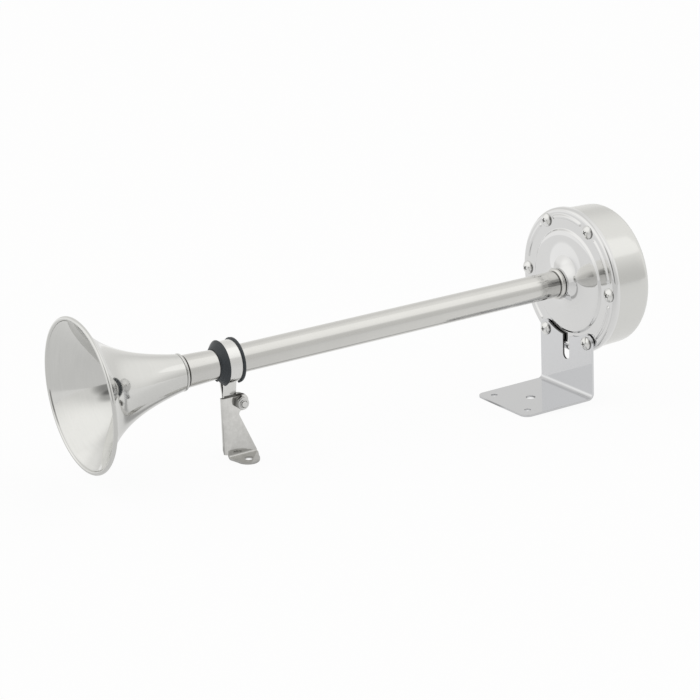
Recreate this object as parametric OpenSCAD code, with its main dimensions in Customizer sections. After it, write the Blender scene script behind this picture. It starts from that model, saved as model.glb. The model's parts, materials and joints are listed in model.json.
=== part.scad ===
// Electric trumpet horn for a boat: a spun bell on a long tube, driven by
// a diaphragm motor in a round case, with an L bracket under the case and
// a clamped folding leg near the bell.
// Sizes in millimetres. The origin is the centre of the bracket's middle
// hole, on its underside. +X runs along the trumpet towards the case, +Z is up.

/* [Trumpet] */
// From the bell's mouth to the front face of the case
horn_len = 367; // [320:1:420]
// Length of the spun bell
bell_len = 69; // [60:0.5:80]
// Outer diameter of the bell at its mouth
bell_mouth_d = 96.8; // [88:0.5:108]
// Outer diameter of the bell where it takes the tube
bell_throat_d = 22.8; // [21.8:0.1:26]
// Angle of the bell's straight cone before it flares
bell_cone_angle = 6.6; // [5:0.1:9]
// Length over which the flare at the mouth dies away
flare_len = 22.6; // [18:0.1:26]
// Wall of the bell
bell_wall = 0.9; // [0.7:0.05:1.1]
// Thickness of the rolled bead round the mouth
mouth_bead_d = 2.6; // [2.2:0.1:3.6]
// Outer diameter of the tube
tube_d = 18.2; // [17.6:0.05:19]
// Outer diameter of the tube's swelled end at the bell
tube_swell_d = 20.9; // [20:0.1:21.1]
// Length of the tube's swelling
tube_swell_len = 31.5; // [26:0.5:44]
// Wall of the tube
tube_wall = 1; // [0.7:0.05:1.3]
// Length of tube that the bell's throat takes in
bell_overlap = 8; // [5:0.5:12]
// Thickness of the ring round the tube at the case
neck_ring_d = 3; // [2:0.1:3.6]

/* [Case] */
// Outer diameter of the front cover
cover_d = 101.6; // [92:0.1:112]
// Sheet of the front cover
cover_sheet = 1.2; // [0.9:0.05:1.5]
// Length of the front cover's skirt
skirt_len = 5; // [4.6:0.1:7]
// Radius of the front cover's pressed edge
cover_edge_r = 2.5; // [1.8:0.1:3]
// Height of the pressed plateau round the neck
plateau_rise = 3; // [2:0.1:4]
// Distance from the cover's edge in to the plateau's flat top
plateau_inset = 19.6; // [19:0.1:22]
// Width of the sloping step round the plateau
plateau_slope_w = 6; // [4:0.1:6.5]
// Length of the neck in front of the flange face
neck_len = 8.3; // [7:0.1:11]
// Radius of the flare at the foot of the neck
neck_flare_r = 9; // [7:0.1:10]
// Distance from the cover's edge in to its screws
screw_inset = 5.9; // [5.7:0.1:6.2]
// Number of cover screws
screw_count = 6; // [6]
// Diameter of the cover screws
screw_d = 5; // [4:0.1:5.2]
// Diameter of the screw heads
screw_head_d = 9.4; // [8:0.1:10]
// Height of the screw heads
screw_head_h = 3; // [2.4:0.1:3.6]
// Width of the stiffening ribs between the screws
rib_w = 3; // [2:0.1:3.6]
// Height of the stiffening ribs
rib_h = 0.8; // [0.5:0.05:1]
// Angle that each rib spans
rib_span = 36; // [28:1:38]
// Room between the tuning screw's head and the back of the case
case_room = 4.8; // [4:0.1:9]
// How far the rear cover's mouth lies inside the front cover's edge
case_inset = 1.5; // [1.4:0.05:1.55]
// How much smaller the rear cover is at its back
case_taper = 1.4; // [0.6:0.1:3]
// Sheet of the rear cover
case_sheet = 0.8; // [0.6:0.05:0.9]
// Radius of the rear cover's corner
case_corner_r = 5; // [3:0.1:7]
// Diameter of the hole through the lead grommet
lead_hole_d = 6.4; // [6:0.1:7]
// Distance from the case's edge up to the lead grommet
lead_inset = 16.3; // [15.8:0.1:18]

/* [Motor] */
// Thickness of each gasket
gasket_t = 0.7; // [0.5:0.05:0.8]
// Thickness of the spring steel diaphragm
diaphragm_t = 0.4; // [0.3:0.05:0.5]
// Thickness of the ring in the rear cover's mouth
ring_t = 2.5; // [2:0.1:3]
// Width of the gaskets and the ring
ring_w = 10.8; // [10.2:0.1:11]
// Sheet of the motor frame
frame_sheet = 1.8; // [1.5:0.05:2]
// Depth of the motor frame's cup
frame_depth = 11.3; // [10:0.1:12]
// Stroke of the armature
stroke = 0.5; // [0.3:0.05:0.6]
// Gap left between the armature and the poles at full stroke
pole_rest_gap = 0.2; // [0.15:0.05:0.4]
// Diameter of the armature plate
armature_d = 37; // [34:0.5:38]
// Thickness of the armature plate
armature_t = 2.6; // [2.2:0.1:3]
// Length of the armature's boss behind the diaphragm
boss_h = 2.4; // [2:0.1:2.8]
// Diameter of the armature's stud
stud_d = 6; // [5:0.1:6.4]
// Diameter of the magnet's iron pot
yoke_d = 38; // [36:0.5:39]
// Length of the magnet's iron pot
yoke_len = 14; // [13:0.1:14.5]
// Wall of the iron pot
yoke_wall = 2.5; // [2:0.1:3]
// Diameter of the magnet core
core_d = 12; // [10:0.1:13]
// Diameter of the push rod
rod_d = 3.8; // [3.2:0.1:4]
// Radial clearance of the push rod in the core
rod_clearance = 0.1; // [0.05:0.01:0.1]
// Distance from the push rod to the breaker arm's pivot
breaker_reach = 13; // [12:0.1:14]
// Distance from the push rod to the contacts
contact_reach = 12; // [11:0.1:13]
// Width of the breaker arm
arm_w = 6; // [5:0.1:6.4]
// Thickness of the breaker arm
arm_t = 1; // [0.8:0.05:1.2]
// Diameter of the breaker arm's pivot pin
pivot_d = 2; // [1.8:0.05:2.2]
// Diameter of the two contacts
contact_d = 4; // [3:0.1:4.6]
// Diameter of the tuning screw
tuning_d = 4; // [3.5:0.1:4.4]

/* [Rear bracket] */
// Height of the trumpet's axis over the bracket's underside
axis_height = 78.2; // [76:0.5:90]
// Radius of the bracket's ears round its two screws
ear_r = 6.25; // [6:0.05:7]
// Sheet of the bracket
bracket_sheet = 1.5; // [1.2:0.05:2]
// Thickness of the spacers behind the bracket
spacer_t = 0.8; // [0.7:0.1:2]
// Inner radius of the bracket's bend
bend_r = 3; // [2:0.1:5]
// Distance from the bracket's middle hole to the case's front face
hole_setback = 33.4; // [28:0.5:40]
// Length of the base in front of the middle hole
base_front = 25.8; // [22:0.5:32]
// Radius of the base's corners
base_corner_r = 6; // [3:0.5:9]
// Diameter of the middle hole
middle_hole_d = 6.5; // [5:0.1:8]
// Diameter of the two front holes
front_hole_d = 4.5; // [3.5:0.1:5.5]
// Distance between the two front holes
front_hole_spacing = 38.4; // [34:0.1:40]
// Distance from the middle hole to the line of the front holes
front_hole_offset = 16.8; // [14:0.5:19]
// Width of the slot in the upright
slot_w = 7; // [5:0.1:8]
// Length of the slot below the arc
slot_len = 17.2; // [16.5:0.1:20]

/* [Front support] */
// From the end of the bell to the middle of the clamp
clamp_gap = 31.5; // [29:0.1:50]
// Width of the clamp band
band_w = 8.7; // [7:0.1:9]
// Sheet of the clamp band
band_sheet = 1.2; // [1:0.05:1.4]
// Outer diameter of the clamp band
band_d = 27; // [26.6:0.1:28]
// Outer diameter of the rubber ring's lips
lip_d = 29.2; // [28.6:0.1:31]
// Thickness of the rubber ring's rear lip
lip_t = 1.7; // [1.2:0.1:2.2]
// Length of the rubber ring's cone in front of the band
cone_lip_len = 4.7; // [3:0.1:5]
// Clearance of the rubber ring on the tube
rubber_clearance = 0.1; // [0.05:0.05:0.3]
// How far the clamp can be moved along the tube
clamp_travel = 160; // [100:1:160]
// Gap between the two ends of the clamp band
band_gap = 0.8; // [0.6:0.1:1.2]
// Diameter of the clamp bolt
bolt_d = 5; // [4:0.1:5.4]
// Drop from the trumpet's axis to the clamp bolt
bolt_drop = 27.3; // [26.6:0.1:31]
// Distance from the middle of the clamp back to its bolt
bolt_setback = 6.2; // [5.6:0.1:7]
// Radius of the lugs round the clamp bolt
lug_r = 5.8; // [5.4:0.1:6.2]
// Sheet of the leg
leg_sheet = 1.5; // [1.2:0.05:1.8]
// Drop from the trumpet's axis to the top of the leg's foot
foot_drop = 61.8; // [58:0.1:70]
// Space between the clamp band and the leg's bent edge
leg_side_gap = 1; // [0.8:0.1:2]
// Width of the foot where it is bent
foot_w = 20; // [17:0.1:23]
// Length of the foot from the bend
foot_len = 12.8; // [12:0.1:16]
// Angle that the foot slopes down from the bend
foot_slope = 6; // [0:0.5:10]
// Diameter of the hole in the foot
foot_hole_d = 5.2; // [4:0.1:6.6]
// Distance from the bend to the hole in the foot
foot_hole_reach = 6.2; // [5.6:0.1:7.4]

/* [Hidden] */
$fn = 96;
eps = 0.01;

// Clearances that several pieces share
screw_clearance = 0.25;
thread_clearance = 0.05;
slip = 0.1;
pivot_clearance = 0.05;
leg_bolt_clearance = 0.1;
eye_clearance = 0.025;

// Radii of the trumpet
tube_r = tube_d / 2;
swell_r = tube_swell_d / 2;
mouth_r = bell_mouth_d / 2;
throat_r = bell_throat_d / 2;
mouth_bead_r = mouth_bead_d / 2;
neck_bore_r = tube_r + slip;

// Places along the trumpet, counted from the case's front face
mouth_x = -horn_len;
seam_x = mouth_x + bell_len;
tube_end_x = -1;
neck_ring_x = -neck_len - neck_ring_d / 2 - 0.5;

// The bell's outline: a straight cone and a flare that dies away from the mouth
bell_steps = 40;
cone_gain = tan(bell_cone_angle);
flare_rise = (mouth_r - throat_r - cone_gain * bell_len) / (1 - exp(-bell_len / flare_len));
function bell_r(d) = throat_r + cone_gain * (bell_len - d)
    + flare_rise * (exp(-d / flare_len) - exp(-bell_len / flare_len));
function swell_at(x) = tube_r + (swell_r - tube_r)
    * min(1, max(0, (seam_x + tube_swell_len - x) / tube_swell_len));

// The stack of pieces behind the front cover, counted from the case's front face
front_gasket_x = cover_sheet;
diaphragm_x = front_gasket_x + gasket_t;
rear_gasket_x = diaphragm_x + diaphragm_t;
ring_x = rear_gasket_x + gasket_t;
frame_x = ring_x + ring_t;
frame_back_x = frame_x + frame_sheet;
floor_x = frame_x + frame_depth - frame_sheet;
floor_back_x = frame_x + frame_depth;
armature_x = rear_gasket_x + boss_h;
pole_x = armature_x + armature_t + stroke + pole_rest_gap;
yoke_back_x = pole_x + yoke_len;

// Radii of the case and the stack
cover_r = cover_d / 2;
skirt_in_r = cover_r - cover_sheet;
disc_r = skirt_in_r - 0.4;
case_r = cover_r - case_inset;
case_back_r = case_r - case_taper / 2;
case_in_r = case_r - case_sheet;
ring_r = case_in_r - 0.2;
ring_in_r = ring_r - ring_w + 0.6;
disc_in_r = disc_r - ring_w;
frame_r = ring_r - slip;
plateau_r = cover_r - plateau_inset;
slope_r = plateau_r + plateau_slope_w;
screw_r = screw_d / 2;
screw_hole_r = screw_r + screw_clearance;
pcd_r = cover_r - screw_inset;
frame_wall_r = pcd_r - 6.6;
clinch_r = 3.3;
clinch_len = 3;
screw_step = 360 / screw_count;
screw_angles = [for (i = [0 : screw_count - 1]) (i + 0.5) * screw_step];
bracket_angles = [-screw_step / 2, screw_step / 2];
plain_angles = [for (i = [1 : screw_count - 2]) (i + 0.5) * screw_step];
screw_end_x = frame_back_x + clinch_len + 1;
rivet_angles = [60, 180, 300];

// Sizes of the magnet and its contact gear
yoke_r = yoke_d / 2;
yoke_flange_r = yoke_r + 4.4;
yoke_flange_t = 1.5;
yoke_floor_t = 2.5;
yoke_flange_back_x = floor_back_x + yoke_flange_t;
yoke_rivet_r = 1.3;
rivet_head_r = yoke_rivet_r + 0.8;
rivet_head_h = 1;
yoke_rivet_pitch = yoke_r + 2.2;
coil_lead_r = 2;
coil_lead_pitch = frame_wall_r - frame_sheet - 4;
core_r = core_d / 2;
core_tail_r = core_r - 1.5;
core_bore_r = rod_d / 2 + rod_clearance;
stud_r = stud_d / 2;
boss_r = stud_r + 2.5;
armature_washer_r = stud_r + 4;
armature_washer_x = diaphragm_x - 1;
armature_nut_h = 2.6;
armature_nut_x = armature_washer_x - armature_nut_h;
armature_nut_flats = stud_d + 4;
stud_end_x = armature_nut_x - 0.6;
bobbin_wall = 1;
bobbin_flange_t = 1.2;
bobbin_x = pole_x + 0.4;
bobbin_back_x = yoke_back_x - yoke_floor_t - slip;
bobbin_r = yoke_r - yoke_wall - 0.3;
winding_r = bobbin_r - 1;
board_t = 1.2;
board_len = 5.4;
strip_t = 1;
strip_w = 8;
strip_x = yoke_back_x + board_t;
strip_back_x = strip_x + strip_t;
fixed_contact_h = 0.8;
contact_gap = 0.1;
moving_contact_h = 0.9;
contact_r = contact_d / 2;
contact_tail_r = contact_d / 4;
contact_back_r = contact_r - 0.3;
moving_back_h = 0.5;
fixed_back_h = 0.4;
arm_x = strip_back_x + fixed_contact_h + contact_gap + moving_contact_h;
arm_end_reach = contact_reach + 3;
rod_end_x = arm_x - 0.2;
pivot_x = arm_x + arm_t / 2;
pivot_r = pivot_d / 2;
eye_r = pivot_r + 1.2;
breaker_ear_r = pivot_r + 1.3;
pin_out = 0.6;
ear_t = 1.2;
ear_gap = 0.3;
ear_y = arm_w / 2 + ear_gap;
rivet_reach = 7.5;
strip_rivet_r = 1.1;
strip_start = 4;
strip_hole_gap = 0.3;
strip_head_r = 2;
strip_head_h = 0.7;
strip_tail = 1.4;
tuning_r = tuning_d / 2;
tuning_boss_r = tuning_r + 2.4;
tuning_reach = yoke_flange_r + tuning_boss_r + 0.2;
tuning_boss_len = 3.6;
tuning_nut_h = 2.4;
tuning_head_h = 2.2;
tuning_head_r = tuning_r + 1.5;
tuning_cut_w = 1;
tuning_end_x = floor_x - 2;
tuning_nut_flats = tuning_d + 3;
sleeve_r = tuning_r + 1.2;
sleeve_h = 2;
tuning_nut_x = floor_back_x + tuning_boss_len;
sleeve_x = strip_back_x;
tuning_head_x = sleeve_x + sleeve_h;
case_depth = tuning_head_x + tuning_head_h + case_room;
case_inner_x = case_depth - case_sheet;
tuning_hole_r = 4;
plug_r = tuning_hole_r + 1.6;
plug_head_h = 1.6;
plug_catch_r = tuning_hole_r + 0.6;
plug_catch_len = 1.1;
plug_end_x = case_inner_x - plug_catch_len - slip;
terminal_y = 7;
terminal_drop = (yoke_flange_r + frame_wall_r) / 2;
terminal_block_h = 5.2;
terminal_block_w = 28;
terminal_block_z = 9;
terminal_screw_r = 1.75;
terminal_head_r = 3.2;
terminal_head_h = 2.2;
terminal_tab_w = 9;
terminal_tab_z = 8;
terminal_tab_t = 0.8;
tab_x = floor_back_x + terminal_block_h;
suppressor_r = 4.5;
suppressor_len = 17;
suppressor_x = floor_back_x + suppressor_r + slip;
suppressor_wire_r = 0.5;
suppressor_wire_len = 3;
clip_w = 6;
clip_r = suppressor_r + 0.9;
suppressor_y = yoke_flange_r + clip_r + 0.3;
clip_in_r = suppressor_r + slip;
clip_foot = max(1, frame_wall_r - suppressor_y - clip_r - 0.2);
clip_sheet = 0.8;
lead_hole_r = lead_hole_d / 2;
lead_drop = case_r - lead_inset;
grommet_neck_r = lead_hole_r + 1.4;
grommet_lip_r = grommet_neck_r + 2;
grommet_lip_t = 1.5;

// The bracket
upright_back_x = -spacer_t;
upright_x = upright_back_x - bracket_sheet;
base_front_x = -hole_setback - base_front;
arc_r = pcd_r - ear_r;
slot_end = arc_r + slot_len;
ear_side = pcd_r * sin(screw_step / 2);
ear_drop = pcd_r * cos(screw_step / 2);
bracket_w = 2 * (ear_side + ear_r);

// The front support
clamp_x = seam_x + clamp_gap;
band_r = band_d / 2;
band_in_r = band_r - band_sheet;
band_x0 = clamp_x - band_w / 2;
band_x1 = clamp_x + band_w / 2;
lip_r = lip_d / 2;
split_angle = 20;
bolt_r = bolt_d / 2;
bolt_head_r = bolt_r + 2.2;
bolt_head_h = 3;
bolt_end_out = 1.6;
bolt_x = clamp_x + bolt_setback;
tongue_y = band_gap / 2;
tongue_out_y = tongue_y + band_sheet;
leg_top_drop = bolt_drop - 4.9;
web_back_y = -tongue_out_y;
web_front_y = web_back_y - leg_sheet;
leg_left_x = band_x0 - leg_side_gap - leg_sheet;
foot_mid_x = bolt_x - 0.6;
foot_left_x = foot_mid_x - foot_w / 2;
foot_right_x = foot_mid_x + foot_w / 2;
leg_bend_r = 1.2;
leg_edge_out_r = leg_sheet + 0.6;
edge_bottom_z = 1.6 - foot_drop;
edge_depth = 3.4;
foot_tip_r = 7.6;
nut_h = 4.4;
nut_flats = 8;
nut_collar_h = 0.9;

// Places where the band's two ends leave its ring and run together
leave_y = band_sheet + 1.9;
leave_z = -sqrt(band_r * band_r - leave_y * leave_y);
leave_in_y = leave_y - band_sheet;
meet_z = -(bolt_drop - lug_r - 0.6);
tongue_end_z = meet_z - 2.6;

// Draws its children, made along Z, along the trumpet's axis
module along_trumpet() {
    translate([hole_setback, 0, axis_height]) rotate([0, 90, 0]) children();
}

// Draws its children in place, counted from the case's front face on the axis
module from_case() {
    translate([hole_setback, 0, axis_height]) children();
}

// A washer or tube from z0 to z1
module ring_solid(r_out, r_in, z0, z1) {
    translate([0, 0, z0]) difference() {
        cylinder(r = r_out, h = z1 - z0);
        translate([0, 0, -1]) cylinder(r = r_in, h = z1 - z0 + 2);
    }
}

// Puts its children on a pitch circle, at angles counted from straight down
module at_angles(angles, pitch_r) {
    for (a = angles) rotate(a) translate([pitch_r, 0, 0]) children();
}

// Round holes on a pitch circle, along Z
module holes_at(angles, pitch_r, hole_r, z0, z1) {
    at_angles(angles, pitch_r) translate([0, 0, z0]) cylinder(r = hole_r, h = z1 - z0);
}

// A low domed screw head that stands on z = 0 and rises to -Z
module pan_head(r, h) {
    edge_h = h * 0.35;
    dome_h = h - edge_h;
    sphere_r = (r * r + dome_h * dome_h) / (2 * dome_h);
    mirror([0, 0, 1]) rotate_extrude() polygon(concat(
        [[0, 0], [r, 0]],
        [for (i = [0 : 8]) let (a = asin(r / sphere_r) * (1 - i / 8))
            [sphere_r * sin(a), edge_h + dome_h - sphere_r + sphere_r * cos(a)]]
    ));
}

module hex_prism(flats, h) {
    cylinder(r = flats / sqrt(3), h = h, $fn = 6);
}

module bell() color([0.80, 0.80, 0.79]) along_trumpet() {
    overlap_r = swell_r + slip;
    rotate_extrude() polygon(concat(
        [for (i = [0 : bell_steps]) let (d = bell_len * i / bell_steps) [bell_r(d), mouth_x + d]],
        [[overlap_r, seam_x], [overlap_r, seam_x - bell_overlap]],
        [for (i = [bell_steps - 5 : -1 : 0]) let (d = bell_len * i / bell_steps)
            [bell_r(d) - bell_wall, mouth_x + d]]
    ));
    translate([0, 0, mouth_x + mouth_bead_r * 0.6]) rotate_extrude()
        translate([mouth_r - mouth_bead_r * 0.7, 0]) circle(r = mouth_bead_r, $fn = 32);
    translate([0, 0, seam_x - 0.7]) rotate_extrude()
        translate([throat_r - 0.2, 0]) circle(r = 0.7, $fn = 24);
}

module trumpet_tube() color([0.79, 0.78, 0.76]) along_trumpet() rotate_extrude() polygon([
    [swell_r, seam_x - bell_overlap + slip],
    [swell_r, seam_x],
    [tube_r, seam_x + tube_swell_len],
    [tube_r, tube_end_x],
    [tube_r - tube_wall, tube_end_x],
    [tube_r - tube_wall, seam_x + tube_swell_len],
    [swell_r - tube_wall, seam_x],
    [swell_r - tube_wall, seam_x - bell_overlap + slip]
]);

module neck_ring() color([0.82, 0.82, 0.80]) along_trumpet()
    translate([0, 0, neck_ring_x]) difference() {
        rotate_extrude() union() {
            translate([tube_r, -neck_ring_d / 2]) square([0.4, neck_ring_d]);
            translate([tube_r + 0.1, 0]) circle(r = neck_ring_d / 2, $fn = 32);
        }
        translate([0, 0, -neck_ring_d]) cylinder(r = tube_r + slip / 2, h = 2 * neck_ring_d);
    }

// The front cover's pressed outline, moved inwards by a given sheet
function slope_z(t) = -plateau_rise * (1 + cos(180 * t)) / 2;
neck_flare_x = neck_bore_r + cover_sheet + neck_flare_r;
neck_flare_z = -plateau_rise - neck_flare_r;
neck_lip_r = neck_bore_r + 1.3;
neck_start = asin(min(0.98, max(0,
    (plateau_rise + neck_flare_r + cover_sheet - neck_len) / neck_flare_r)));
function neck_flare(s) = [for (i = [0 : 8]) let (a = neck_start + (90 - neck_start) * i / 8)
    [neck_flare_x - (neck_flare_r + s) * cos(a), neck_flare_z + (neck_flare_r + s) * sin(a)]];
function plateau_step(s) = [for (i = [0 : 10]) let (t = i / 10)
    [plateau_r + (slope_r - plateau_r) * t - s * 0.25 * sin(180 * t), slope_z(t) + s]];

module front_cover_shell() rotate_extrude() polygon(concat(
    [[neck_bore_r, -neck_len], [neck_lip_r, -neck_len], [neck_lip_r, cover_sheet - neck_len]],
    neck_flare(0),
    plateau_step(0),
    [for (i = [0 : 6]) let (a = 90 * i / 6)
        [cover_r - cover_edge_r + cover_edge_r * sin(a), cover_edge_r - cover_edge_r * cos(a)]],
    [[cover_r, skirt_len], [skirt_in_r, skirt_len], [skirt_in_r, cover_sheet]],
    [for (i = [10 : -1 : 0]) plateau_step(cover_sheet)[i]],
    [[neck_bore_r, cover_sheet - plateau_rise]]
));

module cover_rib() {
    dome_r = (rib_w * rib_w / 4 + rib_h * rib_h) / (2 * rib_h);
    end_a = rib_span / 2;
    rotate(-end_a) rotate_extrude(angle = rib_span) intersection() {
        translate([pcd_r - 0.4, dome_r - rib_h]) circle(r = dome_r, $fn = 64);
        translate([pcd_r - rib_w, -2 * rib_h]) square([2 * rib_w, 2 * rib_h + 0.4]);
    }
    at_angles([-end_a, end_a], pcd_r - 0.4) intersection() {
        translate([0, 0, dome_r - rib_h]) sphere(r = dome_r);
        translate([0, 0, -2 * rib_h]) cylinder(r = rib_w, h = 2 * rib_h + 0.4);
    }
}

module front_cover() color([0.83, 0.83, 0.83]) along_trumpet() difference() {
    union() {
        front_cover_shell();
        for (a = screw_angles) rotate(a + screw_step / 2) cover_rib();
    }
    holes_at(screw_angles, pcd_r, screw_hole_r, -5, cover_sheet + 3);
}

module panhead_screw(head_x, end_x) {
    translate([0, 0, head_x]) pan_head(screw_head_d / 2, screw_head_h);
    translate([0, 0, head_x - eps]) cylinder(r = screw_r, h = end_x - head_x + eps);
}

module cover_screws() color([0.86, 0.86, 0.85]) along_trumpet()
    at_angles(plain_angles, pcd_r) panhead_screw(0, screw_end_x);

module bracket_screws() color([0.86, 0.86, 0.85]) along_trumpet()
    at_angles(bracket_angles, pcd_r) panhead_screw(upright_x, screw_end_x);

module bracket_spacers() color([0.75, 0.75, 0.75]) along_trumpet()
    at_angles(bracket_angles, pcd_r)
        ring_solid(screw_head_d / 2 - 0.4, screw_hole_r, -spacer_t, 0);

module front_gasket() color([0.12, 0.12, 0.12]) along_trumpet() difference() {
    ring_solid(disc_r, disc_in_r, front_gasket_x, diaphragm_x);
    holes_at(screw_angles, pcd_r, screw_hole_r, 0, case_depth);
}

module diaphragm() color([0.45, 0.46, 0.48]) along_trumpet() difference() {
    ring_solid(disc_r, stud_r + slip, diaphragm_x, rear_gasket_x);
    holes_at(screw_angles, pcd_r, screw_hole_r, 0, case_depth);
}

module rear_gasket() color([0.12, 0.12, 0.12]) along_trumpet() difference() {
    ring_solid(disc_r, disc_in_r, rear_gasket_x, ring_x);
    holes_at(screw_angles, pcd_r, screw_hole_r, 0, case_depth);
}

module mounting_ring() color([0.62, 0.62, 0.60]) along_trumpet() difference() {
    ring_solid(ring_r, ring_in_r, ring_x, frame_x);
    holes_at(screw_angles, pcd_r, screw_hole_r, 0, case_depth);
}

module motor_frame() color([0.66, 0.62, 0.45]) along_trumpet() difference() {
    union() {
        ring_solid(frame_r, frame_wall_r - frame_sheet, frame_x, frame_back_x);
        ring_solid(frame_wall_r, frame_wall_r - frame_sheet, frame_x, floor_back_x);
        ring_solid(frame_wall_r - eps, yoke_r + slip, floor_x, floor_back_x);
        translate([-tuning_reach, 0, floor_back_x - eps])
            cylinder(r = tuning_boss_r, h = tuning_boss_len + eps);
    }
    holes_at(screw_angles, pcd_r, screw_hole_r, 0, case_depth);
    holes_at(rivet_angles, yoke_rivet_pitch, yoke_rivet_r, floor_x - 1, floor_back_x + 1);
    translate([-tuning_reach, 0, floor_x - 1])
        cylinder(r = tuning_r + thread_clearance, h = case_depth);
    holes_at([-45, 45], coil_lead_pitch, coil_lead_r, floor_x - 1, floor_back_x + 1);
}

module clinch_nuts() color([0.70, 0.70, 0.68]) along_trumpet()
    at_angles(screw_angles, pcd_r)
        ring_solid(clinch_r, screw_r + thread_clearance, frame_back_x, frame_back_x + clinch_len);

module magnet_yoke() color([0.55, 0.55, 0.56]) along_trumpet() difference() {
    union() {
        translate([0, 0, pole_x]) cylinder(r = yoke_r, h = yoke_len);
        translate([0, 0, floor_back_x]) cylinder(r = yoke_flange_r, h = yoke_flange_t);
    }
    translate([0, 0, pole_x - 1])
        cylinder(r = yoke_r - yoke_wall, h = yoke_len - yoke_floor_t + 1);
    translate([0, 0, pole_x]) cylinder(r = core_tail_r + slip, h = yoke_len + 1);
    holes_at(rivet_angles, yoke_rivet_pitch, yoke_rivet_r, floor_back_x - 1, case_depth);
    translate([-rivet_reach, 0, yoke_back_x - strip_tail - slip]) cylinder(r = strip_rivet_r, h = 3);
}

module yoke_rivets() color([0.72, 0.72, 0.72]) along_trumpet()
    at_angles(rivet_angles, yoke_rivet_pitch) {
        translate([0, 0, floor_x - rivet_head_h])
            cylinder(r = yoke_rivet_r, h = yoke_flange_back_x - floor_x + 2 * rivet_head_h);
        for (x = [floor_x - rivet_head_h, yoke_flange_back_x]) translate([0, 0, x])
            cylinder(r = rivet_head_r, h = rivet_head_h);
    }

module magnet_core() color([0.50, 0.50, 0.51]) along_trumpet() difference() {
    union() {
        translate([0, 0, pole_x]) cylinder(r = core_r, h = yoke_len - yoke_floor_t);
        translate([0, 0, pole_x]) cylinder(r = core_tail_r, h = yoke_len);
    }
    translate([0, 0, pole_x - 1]) cylinder(r = core_bore_r, h = yoke_len + 2);
}

module coil_bobbin() color([0.15, 0.15, 0.16]) along_trumpet() {
    ring_solid(core_r + slip + bobbin_wall, core_r + slip, bobbin_x, bobbin_back_x);
    ring_solid(bobbin_r, core_r + slip, bobbin_x, bobbin_x + bobbin_flange_t);
    ring_solid(bobbin_r, core_r + slip, bobbin_back_x - bobbin_flange_t, bobbin_back_x);
}

module coil_winding() color([0.72, 0.42, 0.22]) along_trumpet()
    ring_solid(winding_r, core_r + slip + bobbin_wall + 0.05, bobbin_x + bobbin_flange_t + 0.05,
        bobbin_back_x - bobbin_flange_t - 0.05);

module armature() color([0.52, 0.52, 0.54]) along_trumpet() {
    translate([0, 0, armature_x]) cylinder(r = armature_d / 2, h = armature_t);
    translate([0, 0, rear_gasket_x]) cylinder(r = boss_r, h = boss_h + eps);
    translate([0, 0, stud_end_x]) cylinder(r = stud_r, h = rear_gasket_x - stud_end_x + eps);
    translate([0, 0, armature_x + armature_t - eps])
        cylinder(r = rod_d / 2, h = rod_end_x - armature_x - armature_t + eps);
}

module armature_washer() color([0.60, 0.60, 0.60]) along_trumpet()
    ring_solid(armature_washer_r, stud_r + thread_clearance, armature_washer_x, diaphragm_x);

module armature_nut() color([0.62, 0.62, 0.60]) along_trumpet() difference() {
    translate([0, 0, armature_nut_x]) hex_prism(armature_nut_flats, armature_nut_h);
    translate([0, 0, armature_nut_x - 1])
        cylinder(r = stud_r + thread_clearance, h = armature_nut_h + 2);
}

module breaker_bracket() color([0.68, 0.64, 0.50]) along_trumpet()
    difference() {
        union() {
            translate([breaker_reach - 4, -ear_y - ear_t, yoke_back_x])
                cube([9, 2 * (ear_y + ear_t), ear_t]);
            for (y = [-ear_y - ear_t, ear_y])
                translate([breaker_reach, y, yoke_back_x]) breaker_ear();
        }
        translate([breaker_reach, -10, pivot_x]) rotate([-90, 0, 0])
            cylinder(r = pivot_r + eye_clearance, h = 20);
    }

module breaker_ear() {
    translate([-breaker_ear_r, 0, 0]) cube([2 * breaker_ear_r, ear_t, pivot_x - yoke_back_x]);
    translate([0, 0, pivot_x - yoke_back_x]) rotate([-90, 0, 0])
        cylinder(r = breaker_ear_r, h = ear_t);
}

module breaker_pin() color([0.80, 0.80, 0.80]) along_trumpet()
    translate([breaker_reach, -ear_y - ear_t - pin_out, pivot_x]) rotate([-90, 0, 0])
        cylinder(r = pivot_r, h = 2 * (ear_y + ear_t + pin_out));

module breaker_arm() color([0.78, 0.66, 0.36]) along_trumpet()
    difference() {
        union() {
            translate([breaker_reach, -arm_w / 2, pivot_x]) rotate([-90, 0, 0])
                cylinder(r = eye_r, h = arm_w);
            translate([-arm_end_reach, -arm_w / 2, arm_x])
                cube([breaker_reach + arm_end_reach, arm_w, arm_t]);
        }
        translate([breaker_reach, -10, pivot_x]) rotate([-90, 0, 0])
            cylinder(r = pivot_r + pivot_clearance, h = 20);
        translate([-contact_reach, 0, arm_x - 1])
            cylinder(r = contact_tail_r + thread_clearance, h = arm_t + 2);
    }

module moving_contact() color([0.86, 0.86, 0.84]) along_trumpet()
    translate([-contact_reach, 0, 0]) {
        translate([0, 0, arm_x - moving_contact_h]) cylinder(r = contact_r, h = moving_contact_h);
        translate([0, 0, arm_x - eps]) cylinder(r = contact_tail_r, h = arm_t + 2 * eps);
        translate([0, 0, arm_x + arm_t]) cylinder(r = contact_back_r, h = moving_back_h);
    }

module fixed_contact() color([0.86, 0.86, 0.84]) along_trumpet()
    translate([-contact_reach, 0, 0]) {
        translate([0, 0, strip_back_x]) cylinder(r = contact_r, h = fixed_contact_h);
        translate([0, 0, strip_x - fixed_back_h])
            cylinder(r = contact_tail_r, h = strip_t + fixed_back_h + eps);
        translate([0, 0, strip_x - fixed_back_h]) cylinder(r = contact_back_r, h = fixed_back_h);
    }

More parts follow.
